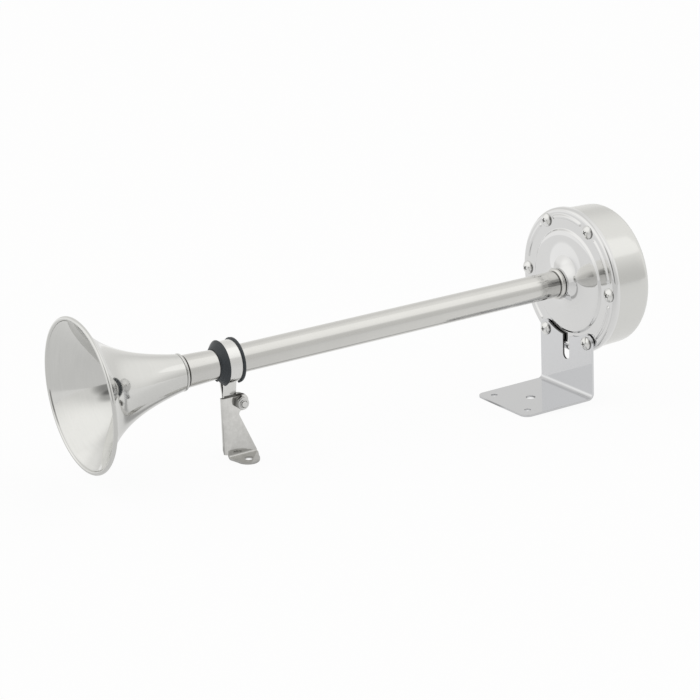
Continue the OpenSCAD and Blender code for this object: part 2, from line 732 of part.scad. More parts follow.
module contact_strip() color([0.80, 0.64, 0.30]) along_trumpet()
    difference() {
        union() {
            translate([-tuning_reach, -strip_w / 2, strip_x])
                cube([tuning_reach - strip_start, strip_w, strip_t]);
            translate([-tuning_reach, 0, strip_x]) cylinder(r = strip_w / 2, h = strip_t);
        }
        translate([-contact_reach, 0, strip_x - 1])
            cylinder(r = contact_tail_r + thread_clearance, h = 3);
        translate([-rivet_reach, 0, strip_x - 1]) cylinder(r = strip_rivet_r, h = 3);
        translate([-tuning_reach, 0, strip_x - 1]) cylinder(r = tuning_r + strip_hole_gap, h = 3);
    }

module contact_insulator() color([0.45, 0.28, 0.16]) along_trumpet()
    difference() {
        translate([-rivet_reach - board_len / 2, -strip_w / 2 - 1, yoke_back_x])
            cube([board_len, strip_w + 2, board_t]);
        translate([-rivet_reach, 0, yoke_back_x - 1]) cylinder(r = strip_rivet_r, h = 4);
    }

module strip_rivet() color([0.80, 0.70, 0.45]) along_trumpet()
    translate([-rivet_reach, 0, 0]) {
        translate([0, 0, yoke_back_x - strip_tail])
            cylinder(r = strip_rivet_r, h = strip_back_x - yoke_back_x + strip_tail + eps);
        translate([0, 0, strip_back_x]) cylinder(r = strip_head_r, h = strip_head_h);
    }

module at_tuning() {
    along_trumpet() translate([-tuning_reach, 0, 0]) children();
}

module tuning_screw() color([0.82, 0.80, 0.72]) at_tuning() difference() {
    union() {
        translate([0, 0, tuning_end_x]) cylinder(r = tuning_r, h = tuning_head_x - tuning_end_x + eps);
        translate([0, 0, tuning_head_x]) cylinder(r = tuning_head_r, h = tuning_head_h);
    }
    translate([-5, -tuning_cut_w / 2, tuning_head_x + tuning_head_h - 1]) cube([10, tuning_cut_w, 2]);
}

module tuning_nut() color([0.70, 0.70, 0.66]) at_tuning() difference() {
    translate([0, 0, tuning_nut_x]) hex_prism(tuning_nut_flats, tuning_nut_h);
    translate([0, 0, tuning_nut_x - 1]) cylinder(r = tuning_r + thread_clearance, h = tuning_nut_h + 2);
}

module tuning_sleeve() color([0.45, 0.28, 0.16]) at_tuning()
    ring_solid(sleeve_r, tuning_r + slip, sleeve_x, tuning_head_x);

module terminal_block() color([0.20, 0.13, 0.10]) from_case() difference() {
    translate([floor_back_x, -terminal_block_w / 2, -terminal_drop - terminal_block_z / 2])
        cube([terminal_block_h, terminal_block_w, terminal_block_z]);
    for (y = [-terminal_y, terminal_y])
        translate([floor_back_x + 1, y, -terminal_drop]) rotate([0, 90, 0])
            cylinder(r = terminal_screw_r + thread_clearance, h = 10);
}

module terminal_tabs() color([0.82, 0.68, 0.34]) from_case()
    for (y = [-terminal_y, terminal_y]) difference() {
        translate([tab_x, y - terminal_tab_w / 2, -terminal_drop - terminal_tab_z / 2])
            cube([terminal_tab_t, terminal_tab_w, terminal_tab_z]);
        translate([tab_x - 1, y, -terminal_drop]) rotate([0, 90, 0])
            cylinder(r = terminal_screw_r + slip, h = 4);
    }

module terminal_screws() color([0.84, 0.80, 0.66]) from_case()
    for (y = [-terminal_y, terminal_y])
        translate([tab_x + terminal_tab_t, y, -terminal_drop]) rotate([0, -90, 0]) {
            pan_head(terminal_head_r, terminal_head_h);
            translate([0, 0, -eps])
                cylinder(r = terminal_screw_r, h = terminal_tab_t + terminal_block_h - 2);
        }

module suppressor() color([0.16, 0.20, 0.40]) from_case()
    translate([suppressor_x, suppressor_y, -suppressor_len / 2]) {
        cylinder(r = suppressor_r, h = suppressor_len);
        for (z = [-suppressor_wire_len, suppressor_len - eps]) translate([0, 0, z])
            cylinder(r = suppressor_wire_r, h = suppressor_wire_len + eps);
    }

module suppressor_clip() color([0.66, 0.66, 0.64]) from_case()
    translate([0, suppressor_y, -clip_w / 2]) difference() {
        union() {
            translate([suppressor_x, 0, 0]) cylinder(r = clip_r, h = clip_w);
            translate([floor_back_x, -clip_r, 0])
                cube([suppressor_x - floor_back_x, 2 * clip_r, clip_w]);
            translate([floor_back_x, 0, 0]) cube([clip_sheet, clip_r + clip_foot, clip_w]);
        }
        translate([suppressor_x, 0, -1]) cylinder(r = clip_in_r, h = clip_w + 2);
        translate([floor_back_x - 10, -clip_in_r, -1])
            cube([suppressor_x - floor_back_x + 10, 2 * clip_in_r, clip_w + 2]);
    }

// The rear cover's outline, moved inwards by a given sheet
function case_wall(s) = concat(
    [[case_r - s, ring_x]],
    [for (i = [0 : 6]) let (a = 90 * i / 6)
        [case_back_r - case_corner_r + (case_corner_r - s) * cos(a),
         case_depth - case_corner_r + (case_corner_r - s) * sin(a)]]
);

module rear_cover() color([0.78, 0.78, 0.76]) along_trumpet() difference() {
    rotate_extrude() polygon(concat(
        case_wall(0),
        [[0, case_depth], [0, case_inner_x]],
        [for (i = [7 : -1 : 0]) case_wall(case_sheet)[i]]
    ));
    translate([lead_drop, 0, case_inner_x - 1]) cylinder(r = grommet_neck_r + slip, h = 4);
    translate([-tuning_reach, 0, case_inner_x - 1]) cylinder(r = tuning_hole_r + slip, h = 4);
}

module tuning_plug() color([0.10, 0.10, 0.11]) at_tuning() {
    translate([0, 0, case_depth]) mirror([0, 0, 1]) pan_head(plug_r, plug_head_h);
    translate([0, 0, plug_end_x]) cylinder(r = tuning_hole_r, h = case_depth - plug_end_x + eps);
    translate([0, 0, plug_end_x]) cylinder(r = plug_catch_r, h = plug_catch_len);
}

module lead_grommet() color([0.10, 0.10, 0.11]) along_trumpet() translate([lead_drop, 0, 0]) {
    ring_solid(grommet_neck_r, lead_hole_r, case_inner_x - eps, case_depth + eps);
    ring_solid(grommet_lip_r, lead_hole_r, case_depth, case_depth + grommet_lip_t);
    ring_solid(grommet_lip_r, lead_hole_r, case_inner_x - grommet_lip_t, case_inner_x);
}

// The bracket's side profile: base, bend and upright, in the X-Z plane
module bracket_profile() {
    base_y = -axis_height;
    out_r = bend_r + bracket_sheet;
    translate([base_front_x, base_y]) square([upright_back_x - out_r - base_front_x, bracket_sheet]);
    translate([upright_x, base_y + out_r]) square([bracket_sheet, axis_height - out_r]);
    translate([upright_back_x - out_r, base_y + out_r]) intersection() {
        difference() {
            circle(r = out_r);
            circle(r = bend_r);
        }
        translate([0, -out_r]) square(out_r);
    }
}

// The upright seen from the front, with Y across and Z up
module upright_outline() difference() {
    union() {
        translate([-bracket_w / 2, -axis_height - 1])
            square([bracket_w, axis_height + 1 - ear_drop]);
        polygon([[0, 0], [-ear_side, -ear_drop], [ear_side, -ear_drop]]);
        for (s = [-1, 1]) translate([s * ear_side, -ear_drop]) circle(r = ear_r);
    }
    circle(r = arc_r);
    for (s = [-1, 1]) translate([s * ear_side, -ear_drop]) circle(r = screw_hole_r);
    translate([-slot_w / 2, slot_w / 2 - slot_end]) square([slot_w, slot_end - slot_w / 2]);
    translate([0, slot_w / 2 - slot_end]) circle(r = slot_w / 2);
}

// The base seen from above, with X forward and Y across
module base_outline() difference() {
    union() {
        translate([base_front_x + base_corner_r, -bracket_w / 2])
            square([-base_front_x - base_corner_r, bracket_w]);
        translate([base_front_x, base_corner_r - bracket_w / 2])
            square([base_corner_r + 1, bracket_w - 2 * base_corner_r]);
        for (s = [-1, 1]) translate([base_front_x + base_corner_r, s * (bracket_w / 2 - base_corner_r)])
            circle(r = base_corner_r);
    }
    translate([-hole_setback, 0]) circle(d = middle_hole_d);
    for (s = [-1, 1]) translate([-hole_setback - front_hole_offset, s * front_hole_spacing / 2])
        circle(d = front_hole_d);
}

module rear_bracket() color([0.80, 0.81, 0.83]) from_case() intersection() {
    translate([0, bracket_w / 2, 0]) rotate([90, 0, 0]) linear_extrude(bracket_w) bracket_profile();
    translate([base_front_x - 5, 0, 0]) rotate([90, 0, 90])
        linear_extrude(-base_front_x + 5) upright_outline();
    translate([0, 0, -axis_height - 5]) linear_extrude(axis_height + 5) base_outline();
}

// The split at the bottom of the clamp's ring, along the trumpet
module bottom_split(half_angle, reach) {
    linear_extrude(60, center = true)
        polygon([[0, 0], [reach, -reach * tan(half_angle)], [reach, reach * tan(half_angle)]]);
}

module clamp_rubber() color([0.14, 0.15, 0.17]) along_trumpet() difference() {
    front_x = band_x0 - cone_lip_len;
    back_x = band_x1 + lip_t;
    seat_r = band_in_r - 0.1;
    rotate_extrude() polygon([
        [swell_at(front_x) + rubber_clearance, front_x],
        [swell_at(front_x) + rubber_clearance + 0.7, front_x],
        [lip_r - 0.3, band_x0 - 0.9],
        [lip_r, band_x0 - 0.5],
        [lip_r - 0.3, band_x0 - 0.1],
        [seat_r, band_x0 - 0.1],
        [seat_r, band_x1 + 0.1],
        [lip_r - 0.3, band_x1 + 0.1],
        [lip_r, band_x1 + 0.5],
        [lip_r - 0.2, back_x],
        [swell_at(back_x) + rubber_clearance, back_x]
    ]);
    translate([0, 0, clamp_x]) bottom_split(split_angle, 30);
}

// One end of the band, on the far side: the run down and the lug
module band_end() {
    translate([band_x0, 0, 0]) rotate([90, 0, 90]) linear_extrude(band_w) polygon([
        [leave_y, leave_z],
        [tongue_out_y, meet_z],
        [tongue_out_y, meet_z - 1.5],
        [tongue_y, meet_z - 1.5],
        [tongue_y, meet_z],
        [leave_in_y - 0.1, -sqrt(pow(band_in_r + 0.1, 2) - pow(leave_in_y, 2))]
    ]);
    translate([0, tongue_out_y, 0]) rotate([90, 0, 0]) linear_extrude(band_sheet) difference() {
        union() {
            translate([band_x0, tongue_end_z]) square([band_w, meet_z - tongue_end_z]);
            translate([bolt_x, -bolt_drop]) circle(r = lug_r - 0.3);
            polygon([
                [band_x0, tongue_end_z],
                [band_x1, tongue_end_z],
                [bolt_x, -bolt_drop + lug_r - 2],
                [bolt_x, -bolt_drop - lug_r + 2],
                [bolt_x - lug_r + 0.6, -bolt_drop - 2]
            ]);
        }
        translate([bolt_x, -bolt_drop]) circle(r = bolt_r + thread_clearance);
    }
}

module clamp_band() color([0.80, 0.80, 0.78]) from_case() {
    rotate([0, 90, 0]) difference() {
        ring_solid(band_r, band_in_r, band_x0, band_x1);
        translate([0, 0, clamp_x]) linear_extrude(40, center = true)
            translate([0, -leave_in_y]) square([30, 2 * leave_in_y]);
    }
    band_end();
    mirror([0, 1, 0]) band_end();
}

module clamp_bolt() color([0.84, 0.84, 0.83]) from_case()
    translate([bolt_x, tongue_out_y, -bolt_drop]) rotate([90, 0, 0]) {
        pan_head(bolt_head_r, bolt_head_h);
        translate([0, 0, -eps])
            cylinder(r = bolt_r, h = tongue_out_y - web_front_y + nut_h + bolt_end_out);
    }

module clamp_nut() color([0.80, 0.80, 0.79]) from_case()
    translate([bolt_x, web_front_y, -bolt_drop]) rotate([90, 0, 0]) difference() {
        union() {
            intersection() {
                rotate(20) hex_prism(nut_flats, nut_h - nut_collar_h);
                cylinder(r1 = nut_flats / 2 + 2, r2 = nut_flats / 2 + 0.1, h = nut_h - nut_collar_h);
            }
            cylinder(r = nut_flats / 2 - 0.2, h = nut_h);
        }
        translate([0, 0, -1]) cylinder(r = bolt_r + thread_clearance, h = nut_h + 2);
    }

// The leg's flat web seen from the side, with X along and Z up
module web_outline() {
    notch_x = bolt_x - 1.4;
    notch_z = -bolt_drop - lug_r - 2.2;
    notch_r = 2;
    difference() {
        union() {
            polygon([
                [leg_left_x + leg_edge_out_r, -leg_top_drop],
                [bolt_x, -leg_top_drop],
                [bolt_x, notch_z + 2],
                [notch_x, notch_z],
                [foot_right_x, leg_bend_r - foot_drop],
                [foot_left_x, leg_bend_r - foot_drop],
                [foot_left_x, edge_bottom_z],
                [leg_left_x + leg_edge_out_r, edge_bottom_z]
            ]);
            translate([bolt_x, -bolt_drop]) circle(r = lug_r);
        }
        translate([bolt_x, -bolt_drop]) circle(r = bolt_r + leg_bolt_clearance);
        translate([notch_x + notch_r * 1.05, notch_z + 0.5]) circle(r = notch_r);
    }
}

// The stiffening edge along the left of the web, bent back and deeper towards the foot
module leg_edge() {
    top_z = -leg_top_drop;
    in_r = leg_edge_out_r - leg_sheet;
    intersection() {
        translate([0, 0, edge_bottom_z]) linear_extrude(top_z - edge_bottom_z) {
            translate([leg_left_x + leg_edge_out_r, web_front_y + leg_edge_out_r]) intersection() {
                difference() {
                    circle(r = leg_edge_out_r);
                    circle(r = in_r);
                }
                translate([-leg_edge_out_r, -leg_edge_out_r]) square(leg_edge_out_r);
            }
            translate([leg_left_x, web_front_y + leg_edge_out_r]) square([leg_sheet, edge_depth]);
        }
        translate([leg_left_x - 1, 0, 0]) rotate([90, 0, 90]) linear_extrude(leg_edge_out_r + 1) polygon([
            [web_front_y - 1, top_z + 1],
            [web_front_y + edge_depth - 1.4, top_z + 1],
            [web_front_y + edge_depth, edge_bottom_z + 3],
            [web_front_y + edge_depth - 1.2, edge_bottom_z],
            [web_front_y - 1, edge_bottom_z - 1]
        ]);
    }
}

// The foot seen from above, reaching towards -Y from the bend
module foot_outline() {
    side = foot_w / 2 - 1.2;
    straight = foot_len - foot_tip_r;
    // The slanted sides run on smoothly into the round tip
    tilt = asin((side - foot_tip_r) / norm([straight - 1, 0])) / 2;
    tip_x = foot_tip_r * cos(tilt);
    tip_y = -straight - foot_tip_r * sin(tilt);
    difference() {
        union() {
            polygon([
                [foot_left_x, foot_len],
                [foot_left_x, -0.6],
                [foot_mid_x - tip_x, tip_y],
                [foot_mid_x + tip_x, tip_y],
                [foot_right_x, -0.6],
                [foot_right_x, foot_len]
            ]);
            translate([foot_mid_x, -straight]) circle(r = foot_tip_r);
        }
        translate([foot_mid_x, -foot_hole_reach]) circle(d = foot_hole_d);
    }
}

// The bend and the foot seen along X, with Y across and Z up, from the bend's centre
bend_steps = 14;
function bend_arc(r) = [for (i = [0 : bend_steps])
    let (a = (foot_slope - 90) * i / bend_steps) [r * cos(a), r * sin(a)]];
function foot_end(r) = [
    r * sin(foot_slope) - (foot_len + 1) * cos(foot_slope),
    -r * cos(foot_slope) - (foot_len + 1) * sin(foot_slope)
];
module foot_profile() polygon(concat(
    bend_arc(leg_bend_r + leg_sheet),
    [foot_end(leg_bend_r + leg_sheet), foot_end(leg_bend_r)],
    [for (i = [bend_steps : -1 : 0]) bend_arc(leg_bend_r)[i]]
));

module front_leg() color([0.76, 0.76, 0.75]) from_case() {
    translate([0, web_back_y, 0]) rotate([90, 0, 0]) linear_extrude(leg_sheet) web_outline();
    leg_edge();
    translate([0, web_front_y - leg_bend_r, leg_bend_r - foot_drop]) intersection() {
        translate([foot_left_x, 0, 0]) rotate([90, 0, 90]) linear_extrude(foot_w) foot_profile();
        rotate([foot_slope, 0, 0]) linear_extrude(2 * foot_len, center = true) foot_outline();
    }
}

bell();
trumpet_tube();
neck_ring();
front_cover();
cover_screws();
bracket_screws();
bracket_spacers();
front_gasket();
diaphragm();
rear_gasket();
mounting_ring();
motor_frame();
clinch_nuts();
magnet_yoke();
yoke_rivets();
magnet_core();
coil_bobbin();
coil_winding();
armature();
armature_washer();
armature_nut();
breaker_bracket();
breaker_pin();
breaker_arm();
moving_contact();
fixed_contact();
contact_strip();
contact_insulator();
strip_rivet();
tuning_screw();
tuning_nut();
tuning_sleeve();
terminal_block();
terminal_tabs();
terminal_screws();
suppressor();
suppressor_clip();
rear_cover();
tuning_plug();
lead_grommet();
rear_bracket();
clamp_rubber();
clamp_band();
clamp_bolt();
clamp_nut();
front_leg();
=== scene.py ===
import json
from math import asin, atan2, copysign, cos, degrees, dist, exp, hypot, pi, radians, sin, tan

import bmesh
import bpy
from mathutils import Matrix, Vector


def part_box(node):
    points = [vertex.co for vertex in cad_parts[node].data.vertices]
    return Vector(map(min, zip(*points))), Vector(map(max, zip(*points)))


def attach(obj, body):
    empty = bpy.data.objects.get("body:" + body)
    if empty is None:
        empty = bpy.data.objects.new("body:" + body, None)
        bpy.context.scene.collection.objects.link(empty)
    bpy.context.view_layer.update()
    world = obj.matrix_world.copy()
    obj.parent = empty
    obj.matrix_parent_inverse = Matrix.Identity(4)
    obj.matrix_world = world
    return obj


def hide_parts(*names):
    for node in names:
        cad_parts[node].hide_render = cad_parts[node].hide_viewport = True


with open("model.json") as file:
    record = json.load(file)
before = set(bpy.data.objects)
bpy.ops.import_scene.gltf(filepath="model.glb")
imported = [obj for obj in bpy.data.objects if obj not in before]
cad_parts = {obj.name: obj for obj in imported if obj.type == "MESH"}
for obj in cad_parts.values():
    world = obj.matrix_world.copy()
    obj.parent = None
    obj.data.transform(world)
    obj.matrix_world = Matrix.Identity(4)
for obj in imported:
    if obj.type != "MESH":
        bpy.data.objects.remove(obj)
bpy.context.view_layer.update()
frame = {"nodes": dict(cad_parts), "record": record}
record = frame["record"]
slotOf = {part["node"]: part["material_slot"] for part in record["subparts"]}
bodyOf = {node: body for body, nodes in record["behaviour"]["bodies"].items() for node in nodes}
mm = 0.001
print("frame loaded:", len(frame["nodes"]), "nodes")


cameraSettings = {
    "place": (-0.79631, -1.07957, 0.48352),
    "yaw": 0.54407,       # turned from +Y towards +X
    "pitch": 0.31927,     # looking down
    "roll": -0.049196,
    "lens": 106.11,
    "sensor": 36,
    "clip": (0.05, 40),
}


def makeCamera(settings):
    yaw, pitch, roll = settings["yaw"], settings["pitch"], settings["roll"]
    forward = Vector((sin(yaw) * cos(pitch), cos(yaw) * cos(pitch), -sin(pitch)))
    level = Vector((cos(yaw), -sin(yaw), 0))
    upright = level.cross(forward)
    right = level * cos(roll) + upright * sin(roll)
    up = upright * cos(roll) - level * sin(roll)
    data = bpy.data.cameras.new("productCamera")
    data.lens = settings["lens"]
    data.sensor_width = settings["sensor"]
    data.clip_start, data.clip_end = settings["clip"]
    camera = bpy.data.objects.new("productCamera", data)
    bpy.context.scene.collection.objects.link(camera)
    columns = Matrix((right, up, -forward)).transposed()
    camera.matrix_world = Matrix.Translation(settings["place"]) @ columns.to_4x4()
    bpy.context.scene.camera = camera


makeCamera(cameraSettings)
bpy.context.scene.view_settings.view_transform = "Standard"
print("camera placed")


def addNode(tree, kind, values=None, **options):
    node = tree.nodes.new(kind)
    for name, value in options.items():
        setattr(node, name, value)
    for name, value in (values or {}).items():
        node.inputs[name].default_value = value
    return node


def feed(tree, socket, value):
    # another node's output is linked, a plain value is set
    if hasattr(value, "links"):
        tree.links.new(value, socket)
    else:
        socket.default_value = value


def mathNode(tree, operation, first, second=None, clamp=False):
    node = addNode(tree, "ShaderNodeMath", operation=operation, use_clamp=clamp)
    for index, value in enumerate((first, second)):
        if value is not None:
            feed(tree, node.inputs[index], value)
    return node.outputs[0]


def mapRange(tree, value, fromMin, fromMax, toMin, toMax, smooth=True):
    node = addNode(tree, "ShaderNodeMapRange", {
        "From Min": fromMin, "From Max": fromMax, "To Min": toMin, "To Max": toMax})
    node.interpolation_type = "SMOOTHSTEP" if smooth else "LINEAR"
    tree.links.new(value, node.inputs["Value"])
    return node.outputs["Result"]


def mixColour(tree, share, first, second):
    node = addNode(tree, "ShaderNodeMix", data_type="RGBA")
    tree.links.new(share, node.inputs["Factor"])
    feed(tree, node.inputs["A"], first)
    feed(tree, node.inputs["B"], second)
    return node.outputs["Result"]


studio = {
    "edgeX": -0.0258,         # the base's front edge stands on the floor
    "footX": -0.2275,
    "footLow": 0.0136,        # and so does the leg's foot
    "floorSize": 12.0,
    "floorTone": 0.90,
    "floorWhite": 0.93,       # share of plain white that the camera sees
    "glow": (0.66, 0.88),     # floor as the metal sees it, near left corner to far right
    "glowSpan": (-0.50, 0.12),
    "glowColour": (1.0, 0.998, 0.99, 1),
    "glowShare": 0.75,
    "backGlow": (0.58, 0.65, 0.19),   # Y - X where the far left of the floor gets brighter, and how much
    "shade": (9, 4, 14, 0.55),        # mm: the trumpet's shade, its middle, core and edge, and its depth
    "shadeEnds": (-330, -285, 25, 60),
    "skyColour": (1.0, 0.995, 0.975, 1),
    "skyTone": 0.80,
    "skyLeast": 0.18,
    "lobes": [                # direction, cosine where it starts and is full, amount
        ((0.807, -0.142, 0.574), 0.67, 0.98, 0.20),
        ((-0.740, 0.198, 0.643), 0.64, 0.966, 0.30),
        ((-0.398, -0.894, 0.208), 0.90, 0.985, -0.50),
        ((-0.404, -0.701, 0.588), 0.94, 0.985, -0.35),
        ((0.50, -0.866, 0.0), 0.80, 0.985, -0.11),
        ((0.47, 0.88, 0.06), 0.90, 0.99, 0.06),
        ((-0.56, 0.82, 0.12), 0.90, 0.985, 0.16),
    ],
    "keyPower": 1.2,
    "keyPlace": (0.55, -0.9, 1.5),
    "keyAim": (-0.15, 0, 0.05),
    "keySize": 1.6,
}


def floorGlow(tree, settings):
    # the floor as the metal sees it, with the trumpet's soft shade
    parts = addNode(tree, "ShaderNodeSeparateXYZ")
    tree.links.new(addNode(tree, "ShaderNodeTexCoord").outputs["Object"], parts.inputs["Vector"])
    x, y = parts.outputs["X"], parts.outputs["Y"]
    tone = mapRange(tree, mathNode(tree, "ADD", x, y), *settings["glowSpan"], *settings["glow"])
    nearEdge, farEdge, gain = settings["backGlow"]
    behind = mapRange(tree, mathNode(tree, "SUBTRACT", y, x), nearEdge, farEdge, 0, gain)
    middle, core, edge, depth = settings["shade"]
    aside = mathNode(tree, "ABSOLUTE", mathNode(tree, "SUBTRACT", y, middle * mm))
    dark = mapRange(tree, aside, core * mm, edge * mm, depth, 0)
    bellEnd, bellFull, caseFull, caseEnd = (place * mm for place in settings["shadeEnds"])
    for span in ((bellEnd, bellFull, 0, 1), (caseFull, caseEnd, 1, 0)):
        dark = mathNode(tree, "MULTIPLY", dark, mapRange(tree, x, *span))
    return mathNode(tree, "MULTIPLY", mathNode(tree, "ADD", tone, behind), mathNode(tree, "SUBTRACT", 1, dark))


def makeFloorPaper(settings):
    material = bpy.data.materials.new("studioFloor")
    material.use_nodes = True
    tree = material.node_tree
    tree.nodes.clear()
    output = addNode(tree, "ShaderNodeOutputMaterial")
    paper = addNode(tree, "ShaderNodeBsdfDiffuse", {"Color": (*[settings["floorTone"]] * 3, 1)})
    white = addNode(tree, "ShaderNodeEmission", {"Color": (1, 1, 1, 1), "Strength": 1.0})
    glow = addNode(tree, "ShaderNodeEmission", {"Color": settings["glowColour"]})
    tree.links.new(floorGlow(tree, settings), glow.inputs["Strength"])
    path = addNode(tree, "ShaderNodeLightPath")
    surface = paper.outputs["BSDF"]
    for ray, share, light in (("Is Glossy Ray", "glowShare", glow), ("Is Camera Ray", "floorWhite", white)):
        mix = addNode(tree, "ShaderNodeMixShader")
        tree.links.new(mathNode(tree, "MULTIPLY", path.outputs[ray], settings[share]), mix.inputs["Fac"])
        tree.links.new(surface, mix.inputs[1])
        tree.links.new(light.outputs["Emission"], mix.inputs[2])
        surface = mix.outputs["Shader"]
    tree.links.new(surface, output.inputs["Surface"])
    return material


def makeStage(settings):
    # the floor is tilted, because the horn stands nose down on its foot
    rise = settings["footLow"] / (settings["edgeX"] - settings["footX"])
    bm = bmesh.new()
    bmesh.ops.create_grid(bm, x_segments=8, y_segments=8, size=settings["floorSize"] / 2)
    tilt = Matrix.Rotation(asin(rise), 4, "Y")
    bmesh.ops.transform(bm, matrix=Matrix.Translation((settings["edgeX"], 0, 0)) @ tilt, verts=bm.verts)
    mesh = bpy.data.meshes.new("studioFloor")
    bm.to_mesh(mesh)
    bm.free()
    mesh.materials.append(makeFloorPaper(settings))
    floor = bpy.data.objects.new("studioFloor", mesh)
    bpy.context.scene.collection.objects.link(floor)


def makeSky(settings):
    world = bpy.data.worlds.new("studioSky")
    bpy.context.scene.world = world
    world.use_nodes = True
    tree = world.node_tree
    tree.nodes.clear()
    output = addNode(tree, "ShaderNodeOutputWorld")
    direction = addNode(tree, "ShaderNodeTexCoord").outputs["Generated"]
    tone = settings["skyTone"]
    for toward, start, full, amount in settings["lobes"]:
        dot = addNode(tree, "ShaderNodeVectorMath", operation="DOT_PRODUCT")
        tree.links.new(direction, dot.inputs[0])
        dot.inputs[1].default_value = Vector(toward).normalized()
        tone = mathNode(tree, "ADD", mapRange(tree, dot.outputs["Value"], start, full, 0, amount), tone)
    tone = mathNode(tree, "MAXIMUM", tone, settings["skyLeast"])
    sky = addNode(tree, "ShaderNodeBackground", {"Color": settings["skyColour"]})
    tree.links.new(tone, sky.inputs["Strength"])
    white = addNode(tree, "ShaderNodeBackground", {"Color": (1, 1, 1, 1), "Strength": 1.0})
    mix = addNode(tree, "ShaderNodeMixShader")
    tree.links.new(addNode(tree, "ShaderNodeLightPath").outputs["Is Camera Ray"], mix.inputs["Fac"])
    tree.links.new(sky.outputs["Background"], mix.inputs[1])
    tree.links.new(white.outputs["Background"], mix.inputs[2])
    tree.links.new(mix.outputs["Shader"], output.inputs["Surface"])


def makeKeyLight(settings):
    data = bpy.data.lights.new("softBox", "AREA")
    data.shape = "SQUARE"
    data.size = settings["keySize"]
    data.energy = settings["keyPower"]
    lamp = bpy.data.objects.new("softBox", data)
    bpy.context.scene.collection.objects.link(lamp)
    place = Vector(settings["keyPlace"])
    facing = (place - Vector(settings["keyAim"])).to_track_quat("Z", "Y").to_matrix()
    lamp.matrix_world = Matrix.Translation(place) @ facing.to_4x4()


makeStage(studio)
makeSky(studio)
makeKeyLight(studio)
print("stage and light set")


def newGroup(name, inputs, outputs):
    tree = bpy.data.node_groups.new(name, "ShaderNodeTree")
    for label, kind, value in inputs:
        socket = tree.interface.new_socket(name=label, in_out="INPUT", socket_type=kind)
        if value is not None:
            socket.default_value = value
    for label, kind in outputs:
        tree.interface.new_socket(name=label, in_out="OUTPUT", socket_type=kind)
    return tree, tree.nodes.new("NodeGroupInput"), tree.nodes.new("NodeGroupOutput")


def makeGrainGroup():
    # long fine lines: the vector is squeezed across them, so one noise draws them
    tree, source, result = newGroup("polishGrain", [
        ("Vector", "NodeSocketVector", None),
        ("Lines", "NodeSocketVector", (2000, 40, 40)),
        ("Blotches", "NodeSocketFloat", 30.0),
        ("Grain", "NodeSocketFloat", 0.5),
        ("Smear", "NodeSocketFloat", 0.5),
    ], [("Rough", "NodeSocketFloat"), ("Tone", "NodeSocketFloat"), ("Height", "NodeSocketFloat")])
    squeeze = addNode(tree, "ShaderNodeVectorMath", operation="MULTIPLY")
    tree.links.new(source.outputs["Vector"], squeeze.inputs[0])
    tree.links.new(source.outputs["Lines"], squeeze.inputs[1])
    lines = addNode(tree, "ShaderNodeTexNoise", {"Scale": 1.0, "Detail": 5.0, "Roughness": 0.65})
    tree.links.new(squeeze.outputs["Vector"], lines.inputs["Vector"])
    blotches = addNode(tree, "ShaderNodeTexNoise", {"Detail": 4.0, "Roughness": 0.6})
    tree.links.new(source.outputs["Vector"], blotches.inputs["Vector"])
    tree.links.new(source.outputs["Blotches"], blotches.inputs["Scale"])
    lineValue = mathNode(tree, "SUBTRACT", lines.outputs["Fac"], 0.5)
    blotchValue = mathNode(tree, "SUBTRACT", blotches.outputs["Fac"], 0.5)
    lineShare = mathNode(tree, "MULTIPLY", lineValue, source.outputs["Grain"])
    blotchShare = mathNode(tree, "MULTIPLY", blotchValue, source.outputs["Smear"])
    both = mathNode(tree, "ADD", lineShare, blotchShare)
    tree.links.new(both, result.inputs["Rough"])
    tree.links.new(mathNode(tree, "ADD", both, 0.5, clamp=True), result.inputs["Tone"])
    tree.links.new(lineShare, result.inputs["Height"])
    return tree


def makeScratchGroup():
    # sparse thin scratches from stretched cells, turned a little against each other
    tree, source, result = newGroup("fineScratches", [
        ("Vector", "NodeSocketVector", None),
        ("Scale", "NodeSocketFloat", 60.0),
        ("Amount", "NodeSocketFloat", 0.5),
    ], [("Mask", "NodeSocketFloat")])
    total = 0
    for turn, squeeze in ((0.5, (1, 22, 1)), (1.9, (20, 1, 1)), (2.7, (1, 1, 24))):
        mapping = addNode(tree, "ShaderNodeMapping", {
            "Rotation": (turn, turn * 0.7, turn * 1.3), "Scale": squeeze})
        tree.links.new(source.outputs["Vector"], mapping.inputs["Vector"])
        cells = addNode(tree, "ShaderNodeTexVoronoi", feature="DISTANCE_TO_EDGE")
        tree.links.new(mapping.outputs["Vector"], cells.inputs["Vector"])
        tree.links.new(source.outputs["Scale"], cells.inputs["Scale"])
        line = mapRange(tree, cells.outputs["Distance"], 0.0, 0.012, 1, 0, smooth=False)
        total = mathNode(tree, "MAXIMUM", line, total)
    breaks = addNode(tree, "ShaderNodeTexNoise", {"Detail": 2.0})
    tree.links.new(source.outputs["Vector"], breaks.inputs["Vector"])
    tree.links.new(source.outputs["Scale"], breaks.inputs["Scale"])
    broken = mapRange(tree, breaks.outputs["Fac"], 0.5, 0.62, 0, 1)
    kept = mathNode(tree, "MULTIPLY", total, broken)
    tree.links.new(mathNode(tree, "MULTIPLY", kept, source.outputs["Amount"]), result.inputs["Mask"])
    return tree


grainGroup = makeGrainGroup()
scratchGroup = makeScratchGroup()


def placeGroup(tree, group, values):
    node = addNode(tree, "ShaderNodeGroup", node_tree=group)
    for name, value in values.items():
        feed(tree, node.inputs[name], value)
    return node


# painted shade: dark colour for the shade in the gaps between parts
gapShadeColour = (0.03, 0.028, 0.024, 1)
# painted shade: dark colour for the shade in recesses, on sheared walls and at the feet of heads
paintedShadeColour = (0.035, 0.032, 0.028, 1)


